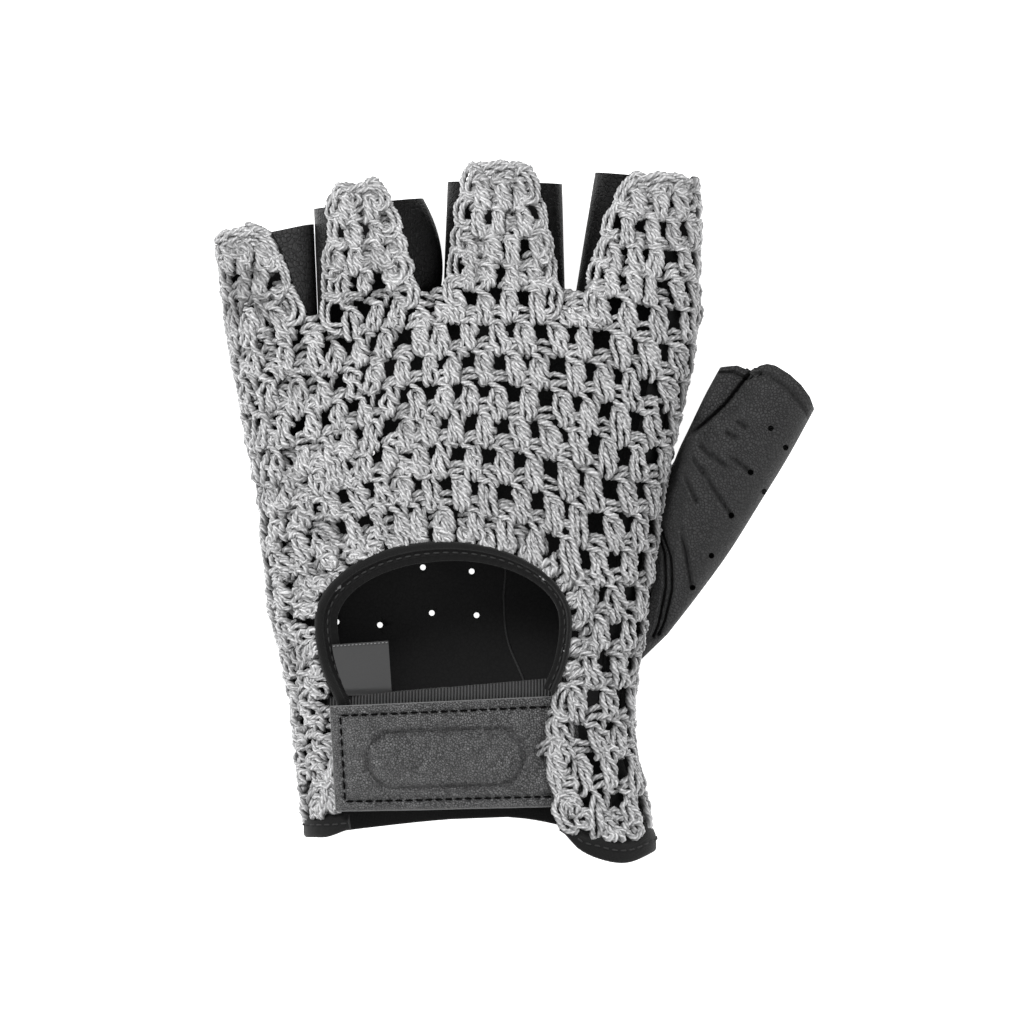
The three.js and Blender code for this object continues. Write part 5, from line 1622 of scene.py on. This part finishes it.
class GLOVE_OT_crochet_edges(bpy.types.Operator):
    """Strands and loops along the opening, the legs, the hem and the side seams of the crochet."""
    bl_idname = "glove.crochet_edges"
    bl_label = "Crochet edges"

    def execute(self, context):
        yarn = yarn_for(context, 2)
        surface = Surface()
        self.add_leg_edges(surface, yarn)
        self.add_rim(surface, yarn)
        self.add_crotches(surface, yarn)
        self.add_hem(surface, yarn)
        y = np.linspace(-70, 44, 60)
        middle, half, height, widest = hand_section(y)
        seam = seam_reach(half, height, widest) - 1.2
        for side in (-1, 1):
            path = np.stack([middle + side * seam, y], -1)
            add_braid(surface, path, yarn, strands=3, swing=0.7, wave=7.0, out=-0.9)
        finish(surface, "crochet_edges", "grey_melange_yarn", "crochet")
        return {"FINISHED"}

    def add_leg_edges(self, surface, yarn):
        """Knots down the left leg's inner edge and long loops down the right one's."""
        line = polyline(LEFT_LEG_EDGE, 30)
        knots = edge_nodes(line, np.tile([-1.0, 0.0], (30, 1)), spacing=5.8, shift=3.0)
        add_knots(surface, knots, yarn)
        heights = np.arange(-39.5, -68.0, -LOOP_PITCH)
        edge, below = (np.column_stack([leg_edges(y)[1] + 0.6, y]) for y in (heights, heights - LOOP_PITCH))
        add_strands(surface, loop_nodes(edge, below, -1), yarn, EDGE_LOOP, lift=0.3)

    def add_rim(self, surface, yarn):
        """Short stitches round the opening."""
        edge = opening_edge(120, inset=0, start=205, end=-23)
        rim = edge_nodes(edge, unit(edge - [OPENING["x"], OPENING["y"]]), spacing=5.0, shift=4.7)
        rim[:, FIT] = 0.4
        add_crochet(surface, rim, yarn, lift=-0.4)

    def add_crotches(self, surface, yarn):
        """Short stitches in the crotches between the finger strips."""
        for left, right in zip(ORDER, ORDER[1:]):
            line = np.linspace(FINGERS[left]["strip_base"][2:], FINGERS[right]["strip_base"][:2], 8)
            line = line + (line - line.mean(0)) * 0.5
            crotch = edge_nodes(line, np.tile([0.0, -1.0], (8, 1)), spacing=4.6, shift=0.2)
            crotch[:, FIT] = 0.45
            crotch[:, STEP] *= -1.0
            crotch[:, DROP] *= -1.0
            add_crochet(surface, crotch, yarn)

    def add_hem(self, surface, yarn):
        """Knots along the wrist tape at the foot of either leg."""
        for start, end in ((-45.5, -41.0), (14.5, 30.5)):
            x = np.linspace(start, end, 20)
            line = np.stack([x, tape_edge(x) + 1.0], -1)
            knots = edge_nodes(line, np.tile([0.0, 1.0], (20, 1)), spacing=5.2, shift=3.3)
            add_knots(surface, knots, yarn)


class GLOVE_OT_palm(bpy.types.Operator):
    """Leather palm with its finger fronts, air holes, side allowances and inner seam."""
    bl_idname = "glove.palm"
    bl_label = "Palm"

    def execute(self, context):
        surface = Surface()
        grid, keep = palm_grid()
        add_shell(surface, grid, LEATHER_THICK, keep)
        palm = surface.make("palm_leather", bpy.data.materials["palm_hide"], sharp=50)
        punch(palm, PALM_HOLES, context.scene.glove_sizes.perforation / MM, low=-1, high=3)
        settled(palm, "palm_leather", "palm")
        for name, side in (("pinky", -1), ("index", 1)):
            y = np.linspace(ALLOWANCE["foot"], FINGERS[name]["strip_tip"][1] - 3, 70)[::side]
            down, y = np.meshgrid(np.linspace(ALLOWANCE["top"], ALLOWANCE["low"], 12), y, indexing="ij")
            middle, half, _, _ = hand_section(y)
            at, _ = on_finger(name)(middle + side * (RIM * half + down), y, -ALLOWANCE["inside"])
            lining = Surface()
            add_shell(lining, at, ALLOWANCE["thick"])
            finish(lining, "seam_allowance_" + name, "palm_hide", "palm_leather")
        seam = Surface()
        line = polyline(INNER_SEAM, 60)
        at = np.column_stack([line, np.full(60, LEATHER_THICK + 0.12)])
        add_tubes(seam, at[None], upward(60)[None], radius=0.28, lay=3.0)
        finish(seam, "palm_inner_seam", "sewing_thread", "palm_leather")
        return {"FINISHED"}


class GLOVE_OT_walls(bpy.types.Operator):
    """Leather walls between neighbouring fingers."""
    bl_idname = "glove.walls"
    bl_label = "Finger walls"

    def execute(self, context):
        for left, right in zip(ORDER, ORDER[1:]):
            surface = Surface()
            add_shell(surface, wall_grid(left, right), LEATHER_THICK)
            pair = left + "_" + right
            # The pinky's wall takes the lighter, shinier copy as painted light, the others the darker copy as
            # painted shade.
            hide = "lit_wall_hide" if left == "pinky" else "wall_hide"
            finish(surface, "wall_" + pair, hide, "wall_leather", "fourchette_" + pair, sharp=50)
        return {"FINISHED"}


class GLOVE_OT_thumb(bpy.types.Operator):
    """Leather thumb with its hem, air holes, creases and base seam."""
    bl_idname = "glove.thumb"
    bl_label = "Thumb"

    def execute(self, context):
        surface = Surface()
        grid = thumb_grid()
        add_shell(surface, grid, LEATHER_THICK, wrap=True)
        thumb = surface.make("thumb_leather", bpy.data.materials["thumb_hide"], sharp=50)
        punch(thumb, THUMB_HOLES, context.scene.glove_sizes.perforation / MM, low=9.5, high=22)
        settled(thumb, "thumb_leather", "thumb")
        # The base seam's thread runs as thick, near-black tubes along its grooves: real thread, and painted
        # shade in the grooves.
        thread = Surface()
        upper = grid[:, len(grid[0]) // 2:].reshape(-1, 3)
        for line in THUMB_SEAMS:
            flat = polyline(line, 50)
            nearest = np.linalg.norm(upper[None, :, :2] - flat[:, None], axis=2).argmin(1)
            z = np.convolve(np.pad(upper[nearest, 2], 4, mode="edge"), np.full(9, 1 / 9), "valid")
            path = np.column_stack([flat, z + 0.15])
            add_tubes(thread, path[None], upward(50)[None], radius=0.36, lobes=2, lay=1.6)
        finish(thread, "thumb_seam_thread", "black_thread_and_seam_shade", "thumb_leather")
        return {"FINISHED"}


class GLOVE_OT_opening_binding(bpy.types.Operator):
    """Round piping and flat facing sewn round the opening over the hand."""
    bl_idname = "glove.opening_binding"
    bl_label = "Opening binding"

    def execute(self, context):
        foot = [[-38.4, -46.5], [-39.2, -43.2]]
        path = polyline(np.concatenate([foot, opening_edge(21, CLEARANCE, start=211, end=-30)]), 150)
        at, side, up = on_edge(path)
        flatter = np.interp(path[:, 1], [-45.0, -42.0], [0.55, 1.0])[:, None]
        up *= flatter ** (path[:, :1] < OPENING["x"])
        side *= np.interp(np.linspace(0, 1, len(path)), [0.1, 0.5, 0.8], [1.15, 1.0, 0.62])[:, None]
        piping, facing, thread = Surface(), Surface(), Surface()
        add_sweep(piping, at, side, up, PIPING)
        finish(piping, "opening_piping", "binding_tape", "binding", "opening_binding", sharp=60)
        # The facing takes the tape's darker copy as painted shade.
        add_sweep(facing, at, side, up, FACING)
        finish(facing, "opening_facing", "shaded_facing_tape", "binding", sharp=60)
        row = at + side * 2.6 + up * 1.4
        add_stitches(thread, row, up, context.scene.glove_sizes.thread_radius / MM, length=1.5, gap=0.6)
        finish(thread, "opening_stitches", "sewing_thread", "binding")
        return {"FINISHED"}


class GLOVE_OT_wrist_binding(bpy.types.Operator):
    """Tape folded round the glove's edge at the wrist, with its row of stitches."""
    bl_idname = "glove.wrist_binding"
    bl_label = "Wrist binding"

    def execute(self, context):
        at, side, up = hem_stops(first_x=10.9, last_x=-36.4)
        share = np.linspace(0, 1, len(at))
        side *= np.interp(share, [0.0, 0.04, 0.95, 1.0], [0.6, 1.0, 1.0, 0.5])[:, None]
        at[:, 1] += 1.1 * smooth(share, 0.94, 1.0)
        tape, thread = Surface(), Surface()
        add_sweep(tape, at, side, up, FOLDED_TAPE)
        finish(tape, "wrist_tape", "binding_tape", "binding", "wrist_binding", sharp=60)
        row = at + side * 2.9 + up * 0.06
        add_stitches(thread, row, up, context.scene.glove_sizes.thread_radius / MM, length=1.5, gap=0.6)
        finish(thread, "wrist_stitches", "sewing_thread", "binding")
        return {"FINISHED"}


class GLOVE_OT_strap(bpy.types.Operator):
    """Leather closure strap with a lighter rim along three edges as a painted highlight, topstitching and a
    plain pressed panel.
    """
    bl_idname = "glove.strap"
    bl_label = "Closure strap"

    def execute(self, context):
        strap, rim, thread = Surface(), Surface(), Surface()
        u, v = np.meshgrid(np.linspace(0, 1, 150), np.linspace(0, 1, 70))
        add_shell(strap, strap_point(u, v, STRAP["thick"] - 0.65 + strap_relief(u, v)), thick=1.7)
        finish(strap, "strap_leather", "strap_hide", "strap_leather", "closure_strap", sharp=45)
        # Thin, lighter tubes along the top, left and bottom edges: a painted highlight on the strap's edge.
        for line in (((0, 0), (1, 0)), ((0, 0), (0, 1)), ((0, 1), (1, 1))):
            path = strap_point(*np.linspace(*line, 80).T, STRAP["thick"] - 0.75)
            add_tubes(rim, path[None], upward(80)[None], radius=0.17, lobes=2, lay=40.0)
        finish(rim, "strap_edge_highlight", "edge_highlight", "strap_leather")
        left, top = STITCH_INSET / STRAP_LONG, STITCH_INSET / STRAP["deep"]
        radius = context.scene.glove_sizes.thread_radius / MM * 1.1
        corners = [(1.0, top), (left, top), (left, 1 - top), (1.0, 1 - top)]
        for line in zip(corners, corners[1:]):
            row = strap_point(*np.linspace(*line, 60).T, STRAP["thick"] - 0.4)
            add_stitches(thread, row, upward(60), radius, length=1.5, gap=0.7)
        finish(thread, "strap_stitches", "black_thread_and_seam_shade", "strap_leather")
        return {"FINISHED"}


class GLOVE_OT_underlap(bpy.types.Operator):
    """Ribbed tape that lies below the strap and shows above it."""
    bl_idname = "glove.underlap"
    bl_label = "Ribbed tape"

    def execute(self, context):
        columns = 610
        u, v = np.meshgrid(np.linspace(0, 1, columns), np.linspace(0, 1, 24))
        long = UNDERLAP["right"] - UNDERLAP["left"]
        x = UNDERLAP["left"] + long * u
        y = UNDERLAP["top_left"] + (UNDERLAP["top_right"] - UNDERLAP["top_left"]) * u - UNDERLAP["deep"] * v
        under_crochet = back_height(x, y) - CROCHET_THICK - 0.5
        under_strap = strap_bottom(x, np.minimum(y, STRAP["top_left"])) - CLEARANCE - 0.1
        z = np.minimum(under_crochet, under_strap) + 0.5 * np.abs(np.sin(np.pi * x / RIB_PITCH))
        surface = Surface()
        add_shell(surface, np.stack([x, y, z], -1), thick=1.3, scale=(long / (columns - 1), 1.0))
        finish(surface, "ribbed_tape", "ribbed_tape", "binding", "strap_underlap", sharp=60)
        return {"FINISHED"}


class GLOVE_OT_label(bpy.types.Operator):
    """Small plain woven label inside the opening."""
    bl_idname = "glove.label"
    bl_label = "Label"

    def execute(self, context):
        u, v = np.meshgrid(np.linspace(0, 1, 30), np.linspace(0, 1, 40))
        left = LABEL["left"] + 3.4 * v ** 1.5
        right = LABEL["right"] + 0.8 * v
        x = left + (right - left) * u
        y = LABEL["top"] + 0.9 * u - (LABEL["deep"] + 0.8 * u) * v
        z = back_height(x, y) - CROCHET_THICK + 1.7 - 1.6 * u - 1.2 * smooth(v, 0.85, 1)
        tape, thread = Surface(), Surface()
        add_shell(tape, np.stack([x, y, z], -1), thick=0.5, scale=(0.43, 0.4))
        finish(tape, "label_tape", "label_tape", "label", "label", sharp=60)
        row = np.stack([x, y, z + 0.1], -1)[1]
        add_stitches(thread, row, upward(30), radius=0.14, length=0.35, gap=0.45)
        finish(thread, "label_stitches", "pale_thread", "label")
        return {"FINISHED"}


# Soft lamps: place in metres, size and power. Then the camera straight above, the width it sees in mm, from
# the photo's pixels and their number in a millimetre, and the height at which that width holds.
LAMPS = {"key": ((-0.6, 0.7, 1.0), 0.5, 16.0), "fill": ((0.8, -0.4, 0.9), 0.8, 5.0)}
CAMERA_HEIGHT = 3.0
SENSOR = 36.0
PHOTO_WIDTH = 1024 / 4.45
GLOVE_MIDDLE = 14.0


class GLOVE_OT_stage(bpy.types.Operator):
    """Pale floor, soft studio light and the camera straight above."""
    bl_idname = "glove.stage"
    bl_label = "Stage"

    def execute(self, context):
        scene = context.scene
        bpy.ops.mesh.primitive_plane_add(size=6.0, location=(0, 0, -0.4 * MM))
        floor = context.object
        floor.name = "floor"
        material, _, _ = new_material("pale_floor", 0.9, Base_Color=(0.9, 0.9, 0.9, 1),
                                      Emission_Color=(1, 1, 1, 1), Emission_Strength=1.0)
        floor.data.materials.append(material)
        scene.world = bpy.data.worlds.new("studio")
        scene.world.use_nodes = True
        background = scene.world.node_tree.nodes["Background"]
        background.inputs["Color"].default_value = (1, 1, 1, 1)
        background.inputs["Strength"].default_value = 0.6
        for name, (place, size, power) in LAMPS.items():
            light = bpy.data.lights.new(name, "AREA")
            light.energy = power
            light.size = size
            lamp = bpy.data.objects.new(name, light)
            lamp.location = place
            lamp.rotation_euler = (-Vector(place)).to_track_quat("-Z", "Y").to_euler()
            scene.collection.objects.link(lamp)
        camera = bpy.data.cameras.new("camera")
        camera.sensor_width = SENSOR
        camera.lens = SENSOR * (CAMERA_HEIGHT - GLOVE_MIDDLE * MM) / (PHOTO_WIDTH * MM)
        camera.clip_end = 20.0
        scene.camera = bpy.data.objects.new("camera", camera)
        scene.camera.location = (0, 0, CAMERA_HEIGHT)
        scene.collection.objects.link(scene.camera)
        scene.view_settings.view_transform = "Standard"
        return {"FINISHED"}


STEPS = (GLOVE_OT_materials, GLOVE_OT_palm, GLOVE_OT_walls, GLOVE_OT_thumb, GLOVE_OT_crochet_hand,
         GLOVE_OT_crochet_fingers, GLOVE_OT_crochet_edges, GLOVE_OT_opening_binding, GLOVE_OT_wrist_binding,
         GLOVE_OT_underlap, GLOVE_OT_strap, GLOVE_OT_label, GLOVE_OT_stage)


class GLOVE_PT_panel(bpy.types.Panel):
    """Lists the glove's pieces in the sidebar."""
    bl_idname = "GLOVE_PT_panel"
    bl_label = "Driving glove"
    bl_space_type = "VIEW_3D"
    bl_region_type = "UI"
    bl_category = "Glove"

    def draw(self, context):
        for group in (context.scene.glove_sizes, context.scene.glove_colours):
            for key in group.__annotations__:
                self.layout.prop(group, key)
        for step in STEPS:
            self.layout.operator(step.bl_idname)


CLASSES = (GloveSizes, GloveColours, *STEPS, GLOVE_PT_panel)


def register():
    """Makes the add-on's classes and settings known to Blender."""
    for cls in CLASSES:
        bpy.utils.register_class(cls)
    bpy.types.Scene.glove_sizes = bpy.props.PointerProperty(type=GloveSizes)
    bpy.types.Scene.glove_colours = bpy.props.PointerProperty(type=GloveColours)


def unregister():
    """Takes them out again."""
    del bpy.types.Scene.glove_sizes
    del bpy.types.Scene.glove_colours
    for cls in reversed(CLASSES):
        bpy.utils.unregister_class(cls)


def main():
    """Builds every piece in order."""
    register()
    for step in STEPS:
        group, name = step.bl_idname.split(".")
        getattr(getattr(bpy.ops, group), name)()


if __name__ == "__main__":
    main()
